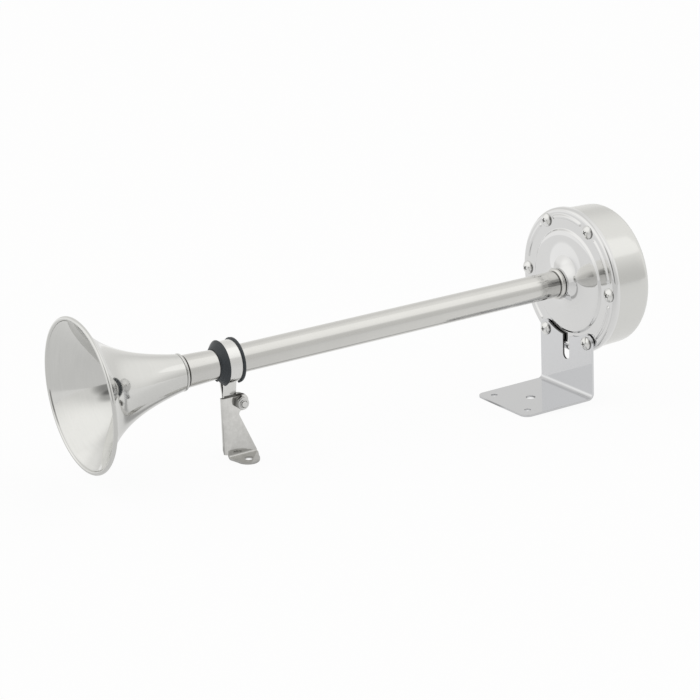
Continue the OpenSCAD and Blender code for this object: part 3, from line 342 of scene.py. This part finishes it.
def seamLine(tree, colour, place, middle, half, depth):
    # painted shade: a dark line round the trumpet in the gap where two pieces meet
    parts = addNode(tree, "ShaderNodeSeparateXYZ")
    tree.links.new(place, parts.inputs["Vector"])
    away = mathNode(tree, "ABSOLUTE", mathNode(tree, "SUBTRACT", parts.outputs["X"], middle * mm))
    return mixColour(tree, mapRange(tree, away, half * 0.5 * mm, half * mm, depth, 0), colour, gapShadeColour)


usualFinish = {
    "metal": 1.0, "grain": 0.5, "smear": 0.5, "blotches": 30.0, "scratches": 0.0, "seams": (),
    "roughSpread": 0.1, "scratchRough": 0.12, "scratchDepth": 0.4,
    "bump": 0.2, "depth": 0.02,       # mm
}


def makeFinish(name, changes):
    finish = {**usualFinish, **changes}
    material = bpy.data.materials.new(name)
    material.use_nodes = True
    tree = material.node_tree
    shader = tree.nodes["Principled BSDF"]
    shader.inputs["Metallic"].default_value = finish["metal"]
    place = addNode(tree, "ShaderNodeTexCoord").outputs["Object"]
    grain = placeGroup(tree, grainGroup, {
        "Vector": place, "Lines": finish["lines"], "Blotches": finish["blotches"],
        "Grain": finish["grain"], "Smear": finish["smear"]})
    scratch = placeGroup(tree, scratchGroup, {"Vector": place, "Amount": finish["scratches"]}).outputs["Mask"]
    colour = mixColour(tree, grain.outputs["Tone"], (*finish["dark"], 1), (*finish["light"], 1))
    for seamX, half, depth in finish["seams"]:
        colour = seamLine(tree, colour, place, seamX, half, depth)
    # painted shade: this attribute darkens the colour where shade falls
    paintedShade = addNode(tree, "ShaderNodeAttribute", attribute_name="paintedShade")
    tree.links.new(mixColour(tree, paintedShade.outputs["Fac"], colour, paintedShadeColour), shader.inputs["Base Color"])
    spread = mathNode(tree, "MULTIPLY", grain.outputs["Rough"], finish["roughSpread"])
    marked = mathNode(tree, "MULTIPLY", scratch, finish["scratchRough"])
    rough = mathNode(tree, "ADD", mathNode(tree, "ADD", spread, marked), finish["rough"], clamp=True)
    tree.links.new(rough, shader.inputs["Roughness"])
    cut = mathNode(tree, "MULTIPLY", scratch, finish["scratchDepth"])
    bump = addNode(tree, "ShaderNodeBump", {"Strength": finish["bump"], "Distance": finish["depth"] * mm})
    tree.links.new(mathNode(tree, "SUBTRACT", grain.outputs["Height"], cut), bump.inputs["Height"])
    tree.links.new(bump.outputs["Normal"], shader.inputs["Normal"])
    return material


across = (2600, 60, 60)      # lines round the trumpet
along = (60, 2200, 60)
upDown = (1800, 1800, 60)
even = (1500, 1500, 1500)
finishes = {
    "bell_steel": {
        "dark": (0.68, 0.68, 0.665), "light": (0.76, 0.76, 0.745), "rough": 0.085, "roughSpread": 0.07,
        "lines": across, "grain": 1.1, "smear": 0.8, "blotches": 22.0, "bump": 0.004, "scratches": 0.2,
        "seams": [(-266.35, 0.35, 0.75)]},       # middle, half width, depth
    "tube_steel": {
        "dark": (0.66, 0.655, 0.635), "light": (0.75, 0.745, 0.725), "rough": 0.12, "roughSpread": 0.08,
        "lines": across, "smear": 0.6, "bump": 0.04, "scratches": 0.2,
        "seams": [(-264.0, 1.1, 0.97), (20.9, 0.7, 0.85), (25.1, 0.8, 0.95)]},
    "mirror_steel": {
        "dark": (0.74, 0.74, 0.74), "light": (0.78, 0.78, 0.78), "rough": 0.035, "roughSpread": 0.02,
        "lines": across, "grain": 0.3, "bump": 0.02, "scratches": 0.3},
    "case_steel": {
        "dark": (0.69, 0.69, 0.67), "light": (0.75, 0.75, 0.735), "rough": 0.12,
        "lines": across, "grain": 0.4, "smear": 0.3, "bump": 0.04},
    "bracket_steel": {
        "dark": (0.70, 0.705, 0.72), "light": (0.735, 0.74, 0.755), "rough": 0.06, "roughSpread": 0.03,
        "lines": along, "grain": 0.3, "bump": 0.04, "scratches": 0.4},
    "clamp_steel": {
        "dark": (0.78, 0.78, 0.765), "light": (0.87, 0.87, 0.855), "rough": 0.16,
        "lines": across, "grain": 0.6, "bump": 0.08},
    "leg_steel": {
        "dark": (0.71, 0.705, 0.685), "light": (0.89, 0.885, 0.865), "rough": 0.09, "roughSpread": 0.07,
        "lines": upDown, "grain": 0.6, "smear": 1.7, "blotches": 260.0, "bump": 0.05, "scratches": 0.4},
    "screw_steel": {
        "dark": (0.72, 0.72, 0.71), "light": (0.82, 0.82, 0.81), "rough": 0.07,
        "lines": even, "grain": 0.3, "bump": 0.05},
    "zinc_steel": {
        "dark": (0.52, 0.50, 0.42), "light": (0.68, 0.66, 0.58), "rough": 0.34,
        "lines": even, "smear": 1.0, "blotches": 300.0, "bump": 0.1},
    "spring_steel": {
        "dark": (0.32, 0.34, 0.38), "light": (0.46, 0.47, 0.50), "rough": 0.24,
        "lines": along, "grain": 0.9, "bump": 0.1},
    "magnet_iron": {
        "dark": (0.26, 0.26, 0.27), "light": (0.42, 0.42, 0.43), "rough": 0.42,
        "lines": across, "grain": 0.8},
    "copper_wire": {
        "dark": (0.55, 0.24, 0.10), "light": (0.80, 0.42, 0.20), "rough": 0.28,
        "lines": (1800, 20, 20), "grain": 1.6, "bump": 0.8, "depth": 0.15},
    "contact_brass": {
        "dark": (0.62, 0.47, 0.22), "light": (0.80, 0.66, 0.36), "rough": 0.26,
        "lines": along, "grain": 0.6, "bump": 0.1},
    "contact_metal": {
        "dark": (0.62, 0.62, 0.60), "light": (0.76, 0.76, 0.74), "rough": 0.22,
        "lines": even, "bump": 0.1},
    "insulating_board": {
        "metal": 0.0, "dark": (0.16, 0.08, 0.04), "light": (0.33, 0.19, 0.10), "rough": 0.52,
        "lines": (60, 900, 60), "grain": 0.9, "smear": 1.0},
    "moulded_plastic": {
        "metal": 0.0, "dark": (0.03, 0.03, 0.035), "light": (0.07, 0.07, 0.075), "rough": 0.45,
        "lines": even},
    "suppressor_film": {
        "metal": 0.0, "dark": (0.04, 0.07, 0.22), "light": (0.08, 0.13, 0.34), "rough": 0.22,
        "lines": even, "grain": 0.3, "smear": 0.8, "bump": 0.05},
    "gasket_rubber": {
        "metal": 0.0, "dark": (0.02, 0.02, 0.02), "light": (0.05, 0.05, 0.05), "rough": 0.65,
        "lines": even, "grain": 0.8, "bump": 0.3},
    "clamp_rubber": {
        "metal": 0.0, "dark": (0.016, 0.021, 0.026), "light": (0.040, 0.049, 0.057), "rough": 0.42,
        "lines": even, "grain": 0.8, "smear": 0.8, "blotches": 200.0, "bump": 0.3, "depth": 0.05},
    "black_rubber": {
        "metal": 0.0, "dark": (0.015, 0.015, 0.016), "light": (0.045, 0.045, 0.047), "rough": 0.48,
        "lines": even, "grain": 0.8, "bump": 0.3, "depth": 0.05},
}
materials = {slot: makeFinish(slot, finish) for slot, finish in finishes.items()}
for node, solid in frame["nodes"].items():
    solid.data.materials.clear()
    solid.data.materials.append(materials[slotOf[node]])
print("finishes made:", len(materials))


caseFront, axisHeight = 33.4, 78.2     # mm: where the trumpet's axis meets the front face of the case
touching = 0.002 * mm                  # points closer than this are one


def finishMesh(bm, name, smoothAngle=32):
    mesh = bpy.data.meshes.new(name)
    bm.to_mesh(mesh)
    bm.free()
    mesh.polygons.foreach_set("use_smooth", [True] * len(mesh.polygons))
    mesh.set_sharp_from_angle(angle=radians(smoothAngle))
    return mesh


def keepPiece(mesh, name, node, weighted=False):
    # the piece stands for the CAD node, with its slot and its body
    mesh.materials.clear()
    mesh.materials.append(materials[slotOf[node]])
    piece = bpy.data.objects.new(name, mesh)
    bpy.context.scene.collection.objects.link(piece)
    if weighted:
        weights = piece.modifiers.new("flatFaces", "WEIGHTED_NORMAL")
        weights.keep_sharp = True
        weights.weight = 100
    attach(piece, bodyOf[node])
    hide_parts(node)


def fadeBetween(value, none, full):
    return min(1, max(0, (value - none) / (full - none)))


def paintShade(mesh, amountAt):
    # painted shade: how dark the metal is painted at a point of the mesh, on sheared edges, in recesses and at
    # the feet of heads
    layer = mesh.attributes.new("paintedShade", "FLOAT", "POINT")
    layer.data.foreach_set("value", [amountAt(vert.co / mm) for vert in mesh.vertices])


def dressNode(node, name, bevel=0.0, smoothAngle=32, bevelAngle=50, amountAt=None, levels=()):
    # a merged copy of the CAD node, with small bevels and painted shade
    bm = bmesh.new()
    bm.from_mesh(frame["nodes"][node].data)
    bmesh.ops.remove_doubles(bm, verts=bm.verts, dist=touching)
    if bevel:
        bmesh.ops.dissolve_limit(bm, angle_limit=radians(0.5), verts=bm.verts, edges=bm.edges)
        edges = [edge for edge in bm.edges
                 if len(edge.link_faces) == 2 and edge.calc_face_angle(0) > radians(bevelAngle)]
        bmesh.ops.bevel(bm, geom=edges, offset=bevel * mm, offset_type="OFFSET", affect="EDGES",
                        segments=2, profile=0.5, material=-1, clamp_overlap=True)
    for level in levels:     # flat cuts that keep the painted shade's edge where it belongs
        bmesh.ops.bisect_plane(bm, geom=bm.verts[:] + bm.edges[:] + bm.faces[:], dist=touching / 2,
                               plane_co=(0, 0, level * mm), plane_no=(0, 0, 1))
    mesh = finishMesh(bm, name, smoothAngle)
    if amountAt:
        paintShade(mesh, amountAt)
    keepPiece(mesh, name, node, weighted=bool(bevel))


def spinLine(bm, points, axis, centre, steps, closed=False, sectors=1):
    # turns a line of points once round an axis; a fine one is spun as a sector that is then copied
    verts = [bm.verts.new(point) for point in points]
    edges = [bm.edges.new(pair) for pair in zip(verts, verts[1:])]
    if closed:
        edges.append(bm.edges.new((verts[-1], verts[0])))
    bmesh.ops.spin(bm, geom=verts + edges, cent=centre, axis=axis, dvec=(0, 0, 0),
                   angle=2 * pi / sectors, steps=steps // sectors, use_merge=sectors == 1)
    sector = bm.verts[:] + bm.edges[:] + bm.faces[:]
    for turn in (2 * pi * k / sectors for k in range(1, sectors)):
        copied = bmesh.ops.duplicate(bm, geom=sector)["geom"]
        bmesh.ops.rotate(bm, verts=[part for part in copied if isinstance(part, bmesh.types.BMVert)],
                         cent=centre, matrix=Matrix.Rotation(turn, 3, axis))
    bmesh.ops.remove_doubles(bm, verts=bm.verts, dist=touching)
    bmesh.ops.recalc_face_normals(bm, faces=bm.faces)


def latheMesh(name, outline, steps, smoothAngle=32, sectors=1, shape=None):
    # spins (place along the trumpet, radius) points in mm round the trumpet's axis
    bm = bmesh.new()
    spinLine(bm, [((caseFront + x) * mm, 0, (axisHeight + r) * mm) for x, r in outline],
             (1, 0, 0), (0, 0, axisHeight * mm), steps, closed=True, sectors=sectors)
    if shape:
        shape(bm)
    return finishMesh(bm, name, smoothAngle)


def arcPoints(centre, radius, start, stop, count):
    # angles in degrees from the +x direction towards larger radii
    turns = [radians(start + (stop - start) * i / count) for i in range(count + 1)]
    return [(centre[0] + radius * cos(turn), centre[1] + radius * sin(turn)) for turn in turns]


bell = {
    "mouthX": -367.0, "length": 69.0, "mouthR": 48.4, "throatR": 11.4,
    "cone": 6.6,                  # degrees, the straight part's slope
    "flareLen": 22.6, "wall": 0.9, "boreR": 10.55, "boreStep": 0.3, "overlap": 8.0,
    "beadR": 1.3, "beadIn": (0.6, 0.7),       # the rolled bead, and its middle in shares of its radius
    "lipR": 0.75, "lipIn": 0.15, "lipTurn": 150,
    "rows": 64, "rowPower": 1.35, "lipRows": 10, "beadRows": 26, "steps": 180,
}


def bellRadius(depth, settings):
    length, throatR, flareLen = settings["length"], settings["throatR"], settings["flareLen"]
    gain = tan(radians(settings["cone"]))
    fade = exp(-length / flareLen)
    flare = (settings["mouthR"] - throatR - gain * length) / (1 - fade)
    return throatR + gain * (length - depth) + flare * (exp(-depth / flareLen) - fade)


def makeBell(settings):
    mouthX, length, rows = settings["mouthX"], settings["length"], settings["rows"]
    beadR, lipR, boreR = settings["beadR"], settings["lipR"], settings["boreR"]
    bead = (mouthX + beadR * settings["beadIn"][0], settings["mouthR"] - beadR * settings["beadIn"][1])
    seam = mouthX + length
    throat = seam - settings["overlap"]

    def flareLine(inset, endX):
        depths = [length * (i / rows) ** settings["rowPower"] for i in range(rows + 1)]
        points = [(mouthX + depth, bellRadius(depth, settings) - inset) for depth in depths]
        return [point for point in points if point[0] < endX and dist(point, bead) > beadR * 1.02]

    outer = flareLine(0, seam - 2 * lipR)
    inner = flareLine(settings["wall"], throat - 1)
    lipMiddle = (seam - lipR, settings["throatR"] - settings["lipIn"])
    lip = arcPoints(lipMiddle, lipR, settings["lipTurn"], 0, settings["lipRows"])
    bore = [(seam, boreR), (throat, boreR), (throat, boreR - settings["boreStep"])]
    start, stop = (degrees(atan2(r - bead[1], x - bead[0])) for x, r in (inner[0], outer[0]))
    ring = arcPoints(bead, beadR, start, stop - 360, settings["beadRows"])
    outline = outer + lip + bore + inner[::-1] + ring[1:-1]
    keepPiece(latheMesh("spunBell", outline, settings["steps"], smoothAngle=48), "spunBell", "bell")


tube = {
    "seamX": -298.0, "endX": -1.0, "radius": 9.1, "swellR": 10.45, "swellLen": 31.5, "wall": 1.0,
    "overlap": 7.9, "swellRows": 24, "rows": 30, "steps": 128,
}


def makeTube(settings):
    seam, endX, radius, swellR, wall = (settings[key] for key in ("seamX", "endX", "radius", "swellR", "wall"))
    swell, swellRows, rows = settings["swellLen"], settings["swellRows"], settings["rows"]
    front, straight = seam - settings["overlap"], seam + swell
    outline = [(front, swellR)]
    for share in (i / swellRows for i in range(swellRows + 1)):
        drop = (swellR - radius) * (share - sin(2 * pi * share) / (8 * pi))
        outline.append((seam + swell * share, swellR - drop))
    outline += [(straight + (endX - straight) * i / rows, radius) for i in range(1, rows + 1)]
    outline += [(endX, radius - wall), (straight, radius - wall),
                (seam, swellR - wall), (front, swellR - wall)]
    keepPiece(latheMesh("longTube", outline, settings["steps"]), "longTube", "trumpet_tube")


cover = {
    "radius": 50.8, "sheet": 1.2, "skirt": 5.0, "edgeR": 2.5,
    "rise": 1.4, "plateauR": 34.9, "slopeR": 36.8, "stepCut": 0.12,
    "rollR": 31.5, "rollDrop": 0.2,           # the plateau rolls off a little before its step
    "boreR": 9.2, "lipR": 10.5, "neckLen": 8.3, "flareLen": 6.2,
    "ribR": 44.8, "ribHalf": 1.9, "ribHeight": 0.95, "ribPower": 1.3, "ribSpan": 36.0, "ribCount": 6,
    "ribZone": 2.0,               # half the width that is finely divided for a rib
    "flatRings": (38.6, 40.8), "plateauRows": 60, "rowPower": 1.3, "slopeRows": 24, "ribRows": 24,
    "backFrom": 2.0, "backStride": 4,         # the back has a quarter of the front's rows
    "steps": 576,
}


def coverOutline(settings, inward):
    # the front face from the neck out to the step, moved inwards by the sheet
    lipR, plateauR, slopeR, rise = (settings[key] for key in ("lipR", "plateauR", "slopeR", "rise"))
    rows, slopeRows, cut = settings["plateauRows"], settings["slopeRows"], settings["stepCut"]
    lift = settings["neckLen"] - settings["sheet"] - rise
    faded = exp(-(plateauR - lipR) / settings["flareLen"])
    points = []
    for i in range(rows):
        r = lipR + (plateauR - lipR) * (i / rows) ** settings["rowPower"]
        rolled = max(0, r - settings["rollR"]) / (plateauR - settings["rollR"])
        raised = lift * (exp(-(r - lipR) / settings["flareLen"]) - faded) / (1 - faded)
        points.append((-rise - raised + settings["rollDrop"] * rolled ** 2 + inward, r))
    top = rise - settings["rollDrop"]
    for t in (i / slopeRows for i in range(slopeRows + 1)):
        wave = (1 + cos(pi * (cut + (1 - cut) * t))) / (1 + cos(pi * cut))
        points.append((inward - top * wave, plateauR + (slopeR - plateauR) * t))
    return points


def ribHeightAt(radius, turn, settings):
    step = 360 / settings["ribCount"]
    offset = abs((turn + step / 2) % step - step / 2)
    beyond = radians(max(0, offset - settings["ribSpan"] / 2))
    away = dist((radius * cos(beyond), radius * sin(beyond)), (settings["ribR"], 0))
    share = min(1, away / settings["ribHalf"])
    return settings["ribHeight"] * (1 + cos(pi * share ** settings["ribPower"])) / 2


def makeCover(settings):
    radius, sheet, skirt, neck = (settings[key] for key in ("radius", "sheet", "skirt", "neckLen"))
    boreR, lipR, edgeR, ribR = (settings[key] for key in ("boreR", "lipR", "edgeR", "ribR"))
    ribRows, zone, flatEnd = settings["ribRows"], settings["ribZone"], radius - edgeR
    front = [(-neck, boreR), (-neck - 0.1, boreR + 0.5), (-neck, lipR - 0.1), (-neck + 0.3, lipR),
             (sheet - neck - 0.2, lipR)]       # the neck's rounded rim
    front += coverOutline(settings, 0)
    front += [(0, r) for r in settings["flatRings"]]
    front += [(0, ribR + zone * (2 * i / ribRows - 1)) for i in range(ribRows + 1)]
    front += [(0, flatEnd - 0.6)]
    front += [(edgeR + x, r) for x, r in arcPoints((0, flatEnd), edgeR, 180, 90, 10)]
    front += [(skirt - 0.2, radius), (skirt, radius - 0.2), (skirt, radius - sheet), (sheet, radius - sheet)]
    behind = coverOutline(settings, sheet)[::-1]
    back = [point for point in behind if point[1] > boreR + settings["backFrom"]]
    outline = front + back[::settings["backStride"]] + [(back[-1][0], boreR)]

    def raiseRibs(bm):
        for vert in bm.verts:
            y, z = vert.co.y / mm, vert.co.z / mm - axisHeight
            onFace = abs(vert.co.x - caseFront * mm) < touching
            if onFace and abs(hypot(y, z) - ribR) < settings["ribHalf"]:
                vert.co.x -= ribHeightAt(hypot(y, z), degrees(atan2(y, -z)), settings) * mm

    mesh = latheMesh("pressedCover", outline, settings["steps"], smoothAngle=62,
                     sectors=settings["ribCount"], shape=raiseRibs)
    keepPiece(mesh, "pressedCover", "front_cover")


screw = {
    "headR": 4.7, "headH": 3.0, "edgeShare": 0.30, "footCut": 0.15,
    "edgeIn": 0.06, "edgeDown": 0.1,          # the small cut between the head's rim and its dome
    "shankR": 2.5, "endX": 11.3, "tipCut": 0.4,
    "crossLen": 1.75, "crossWide": 0.75, "crossDeep": 1.5,
    "waist": 0.55, "taper": (1.25, 0.85, 0.35),      # the bars' size above the head, at the waist and below
    "crossShade": 0.9, "crossFrom": 0.5, "crossReach": 1.3, "underDome": (0.35, 0.12),
    "rimBand": 0.3, "rimSpan": (-0.35, 0.65), "nearGain": 1.1,
    "footShade": 0.85, "shadeFade": 0.65,     # painted shade, dark at the head's foot, less towards its dome
    "pitchR": 44.9, "domeRows": 14, "steps": 48,
    "turns": {30: 12, 90: 50, 150: 78, 210: 31, 270: 65, 330: 20},    # place round the cover, its cross's turn
    "rows": (("coverScrews", "cover_screws", 0.0, (90, 150, 210, 270)),
             ("bracketScrews", "bracket_screws", -2.3, (30, 330))),    # name, node, seat, places
}


def screwHead(bm, settings, shankR, shankEnd):
    # pan head on z = 0 and its shank below, spun round z
    headR, headH, rows = settings["headR"], settings["headH"], settings["domeRows"]
    tipCut, footCut = settings["tipCut"], settings["footCut"]
    edge = headH * settings["edgeShare"]
    dome = headH - edge
    ball = (headR ** 2 + dome ** 2) / (2 * dome)
    widest = asin(headR / ball)
    outline = [(0, shankEnd), (shankR - tipCut, shankEnd), (shankR, shankEnd + tipCut), (shankR, 0),
               (headR - footCut, 0), (headR, footCut), (headR, edge - settings["edgeDown"])]
    for i in range(rows + 1):
        slope = widest * (1 - i / rows)
        inward = settings["edgeIn"] if i == 0 else 0
        outline.append((ball * sin(slope) - inward, headH - ball + ball * cos(slope)))
    spinLine(bm, [(r * mm, 0, z * mm) for r, z in outline], (0, 0, 1), (0, 0, 0), settings["steps"])


def crossCutter(bm, settings):
    # two bars that cut the recess, each a cube with a waist that is then tapered
    length, depth, top = settings["crossLen"], settings["crossDeep"], settings["headH"]
    above, waist, bottom = settings["taper"]
    levels = {1: (top + 1, above), 0: (top - depth * settings["waist"], waist), -1: (top - depth, bottom)}
    for turn in (0, 90):
        bmesh.ops.create_cube(bm, size=2)
        upright = [edge for edge in bm.edges if abs(edge.verts[0].co.z - edge.verts[1].co.z) > 1]
        bmesh.ops.subdivide_edges(bm, edges=upright, cuts=1)
        bar = [vert for vert in bm.verts if abs(vert.co.x) > 0.5]     # the new one, still two metres wide
        for vert in bar:
            z, shrink = levels[round(vert.co.z)]
            half = settings["crossWide"] / 2 * (0.6 + 0.4 * shrink)
            vert.co = Vector((copysign(length * shrink, vert.co.x), copysign(half, vert.co.y), z)) * mm
        bmesh.ops.rotate(bm, verts=bar, cent=(0, 0, 0), matrix=Matrix.Rotation(radians(turn), 3, "Z"))
    bmesh.ops.recalc_face_normals(bm, faces=bm.faces)


def cutMesh(body, cutter):
    solid = bpy.data.objects.new("cutBody", body)
    tool = bpy.data.objects.new("cutTool", cutter)
    for helper in (solid, tool):
        bpy.context.scene.collection.objects.link(helper)
    boolean = solid.modifiers.new("recess", "BOOLEAN")
    boolean.operation, boolean.solver, boolean.object = "DIFFERENCE", "EXACT", tool
    boolean.use_self = True
    graph = bpy.context.evaluated_depsgraph_get()
    mesh = bpy.data.meshes.new_from_object(solid.evaluated_get(graph))
    bpy.data.objects.remove(solid)
    bpy.data.objects.remove(tool)
    return mesh


def recessedHead(settings, shankR, shankEnd):
    head, cross = bmesh.new(), bmesh.new()
    screwHead(head, settings, shankR, shankEnd)
    crossCutter(cross, settings)
    return cutMesh(finishMesh(head, "headBody"), finishMesh(cross, "headCutter"))


def headShade(transform, settings):
    # painted shade: dark in the cross recess and under the rim of the head, on its lower near side away from
    # the light
    back = transform.inverted()
    headR, headH = settings["headR"], settings["headH"]
    under, droop = settings["underDome"]      # the cross's painted shade ends this far under the dome

    def amountAt(point):
        local = back @ (point * mm) / mm
        r, height = hypot(local.x, local.y), local.z
        if r > headR - settings["rimBand"]:
            aside = transform.to_3x3() @ Vector((local.x, local.y, 0)) / r
            facing = fadeBetween(-settings["nearGain"] * aside.y - aside.z, *settings["rimSpan"])
            climbed = max(0, height) / (headH * settings["edgeShare"])
            return facing * max(0, settings["footShade"] - settings["shadeFade"] * climbed)
        inHead = settings["crossFrom"] < height < headH - droop * r * r - under
        inCross = inHead and r < settings["crossLen"] * settings["crossReach"]
        return settings["crossShade"] if inCross else 0
    return amountAt


def makeScrews(settings):
    pitchR = settings["pitchR"]
    for name, node, seat, places in settings["rows"]:
        mesh = recessedHead(settings, settings["shankR"], seat - settings["endX"])
        bm = bmesh.new()
        for place in places:
            around = radians(place)
            centre = Vector((caseFront + seat, pitchR * sin(around), axisHeight - pitchR * cos(around))) * mm
            transform = (Matrix.Translation(centre) @ Matrix.Rotation(radians(-90), 4, "Y")
                         @ Matrix.Rotation(radians(settings["turns"][place]), 4, "Z"))
            placed = mesh.copy()
            placed.transform(transform)
            paintShade(placed, headShade(transform, settings))
            bm.from_mesh(placed)
            bpy.data.meshes.remove(placed)
        keepPiece(finishMesh(bm, name, 35), name, node)


clampBolt = {
    "x": -260.3, "drop": 27.3, "headY": 1.6, "radius": 2.5, "shankR": 2.48,
    "threadFrom": -6.4, "inside": 0.3,        # the thread starts a little inside the shank
    "tipY": -9.1, "pitch": 0.8, "tooth": 0.42, "tipCone": 0.9, "coneSlope": 0.9,
    "shadeAmount": 0.85, "shadeBand": (1.9, 2.25),  # radii: painted shade in the thread's valleys, not on its teeth or the flat tip
    "rows": 56, "steps": 48,
}


def makeClampBolt(settings):
    # head and shank towards +Y, then a helical thread down to the tip on the near side
    boltX, boltZ = caseFront + settings["x"], axisHeight - settings["drop"]
    radius, threadFrom, tipY, rows = (settings[key] for key in ("radius", "threadFrom", "tipY", "rows"))
    bm = bmesh.new()
    start = threadFrom + settings["inside"]
    line = [(boltX + radius, start - (start - tipY) * i / rows, boltZ) for i in range(rows + 1)]
    spinLine(bm, [Vector(point) * mm for point in line], (0, 1, 0), (boltX * mm, 0, boltZ * mm),
             settings["steps"])
    for vert in bm.verts:
        x, y, z = vert.co / mm - Vector((boltX, 0, boltZ))
        turn = atan2(z, x)
        phase = (y / settings["pitch"] + turn / (2 * pi)) % 1
        deep = settings["tooth"] * abs(2 * phase - 1)
        cone = max(0, settings["tipCone"] - (y - tipY)) * settings["coneSlope"]
        r = radius - max(deep, cone)
        vert.co = Vector((boltX + r * cos(turn), y, boltZ + r * sin(turn))) * mm
    bmesh.ops.holes_fill(bm, edges=bm.edges, sides=0)
    bmesh.ops.recalc_face_normals(bm, faces=bm.faces)
    head = recessedHead(screw, settings["shankR"], threadFrom - settings["headY"])
    place = Matrix.Translation(Vector((boltX, settings["headY"], boltZ)) * mm)
    head.transform(place @ Matrix.Rotation(radians(-90), 4, "X"))
    bm.from_mesh(head)

    # painted shade in the thread's valleys
    def threadShade(point):
        least, most = settings["shadeBand"]
        inBand = least < hypot(point.x - boltX, point.z - boltZ) < most
        return settings["shadeAmount"] if inBand and point.y < threadFrom else 0

    mesh = finishMesh(bm, "clampBolt", 35)
    paintShade(mesh, threadShade)
    keepPiece(mesh, "clampBolt", "clamp_bolt")


makeBell(bell)
makeTube(tube)
print("bell and tube spun")
makeCover(cover)
print("front cover pressed")
makeScrews(screw)
makeClampBolt(clampBolt)
print("screws cut")


onWall = 0.06      # mm: a point as near as this counts as on a sheared wall
inSheet = 0.12     # mm: and as deep as this as between the sheet's faces

footBracket = {
    "front": 31.1, "back": 32.6, "arcR": 38.65, "slotHalf": 3.5, "slotEnd": 55.85,
    "shadeAmount": 0.92, "shadeSpan": (-6.0, 2.0),      # along Y, none to full
    "baseDarkening": 0.12, "baseDarkeningSpan": (3.0, 1.5),         # along Z
    "bevel": 0.2,
}


def bracketShade(point, settings=footBracket):
    # painted shade: the sheared walls of the arc and of the slot under it are dark with the shade of the gap
    # behind them, and the base is a little darker towards the bottom
    inWall = settings["front"] + inSheet < point.x < settings["back"] - 0.05
    inArc = hypot(point.y, point.z - axisHeight) < settings["arcR"] + onWall
    inSlot = (abs(point.y) < settings["slotHalf"] + onWall
              and point.z > axisHeight - settings["slotEnd"] - onWall)
    if inWall and (inArc or inSlot):
        return settings["shadeAmount"] * fadeBetween(point.y, *settings["shadeSpan"])
    return settings["baseDarkening"] * fadeBetween(point.z, *settings["baseDarkeningSpan"])


def boxOf(node):
    low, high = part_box(node)
    return Vector(low) / mm, Vector(high) / mm


foldingLeg = {
    "webFront": -3.1, "webBack": -1.6, "topZ": 55.8, "boltX": -226.9, "boltZ": 50.9, "lugR": 5.8,
    "bend": 2.4, "rim": 0.3, "rimFade": 0.15, "shadeAmount": 0.95,
    "footShade": 0.45, "footSpan": (6.0, 2.0),    # above the foot's underside, none to full
    "bevel": 0.2,
}
legLow = boxOf("front_leg")[0]
nutLow, nutHigh = boxOf("clamp_nut")


def legShade(point, settings=foldingLeg):
    # painted shade: the sheared top edge is dark with the shade of the gap behind it, and the foot is darkened
    # as a painted reflection of the web above it
    inWall = settings["webFront"] + inSheet < point.y < settings["webBack"] - inSheet
    onTop = point.z > settings["topZ"] - onWall
    aside = hypot(point.x - settings["boltX"], point.z - settings["boltZ"])
    onLug = aside > settings["lugR"] - onWall and point.z > settings["boltZ"]
    onRim = point.z > settings["topZ"] - settings["rim"] - onWall / 2 and point.y > settings["webFront"] - 0.1
    if onRim or (inWall and point.x > legLow.x + settings["bend"] and (onTop or onLug)):
        return settings["shadeAmount"]
    return settings["footShade"] * fadeBetween(point.z - legLow.z, *settings["footSpan"])


clampNut = {"shadeAmount": 0.92, "deepGain": 1.2, "aheadGain": 0.7, "shadeSpan": (0.35, 1.35), "bevel": 0.1}


def nutShade(point, settings=clampNut):
    # painted shade: dark towards the leg and on the side by the trumpet's mouth
    deep = (point.y - nutLow.y) / (nutHigh.y - nutLow.y)
    ahead = (nutHigh.x - point.x) / (nutHigh.x - nutLow.x)
    return settings["shadeAmount"] * fadeBetween(
        settings["deepGain"] * deep + settings["aheadGain"] * ahead, *settings["shadeSpan"])


rimLevel = foldingLeg["topZ"] - foldingLeg["rim"]
dressNode("neck_ring", "neckRing", smoothAngle=35)
dressNode("rear_cover", "drumCover", smoothAngle=30)
dressNode("rear_bracket", "footBracket", bevel=footBracket["bevel"], amountAt=bracketShade)
dressNode("clamp_rubber", "rubberRing", smoothAngle=30)
dressNode("clamp_band", "clampBand", bevel=0.15)
dressNode("clamp_nut", "clampNut", bevel=clampNut["bevel"], amountAt=nutShade)
dressNode("front_leg", "foldingLeg", bevel=foldingLeg["bevel"], amountAt=legShade,
          levels=(rimLevel, rimLevel - foldingLeg["rimFade"]))
dressNode("tuning_plug", "tuningPlug", smoothAngle=40)
dressNode("lead_grommet", "leadGrommet", bevel=0.3)
print("plain pieces dressed")
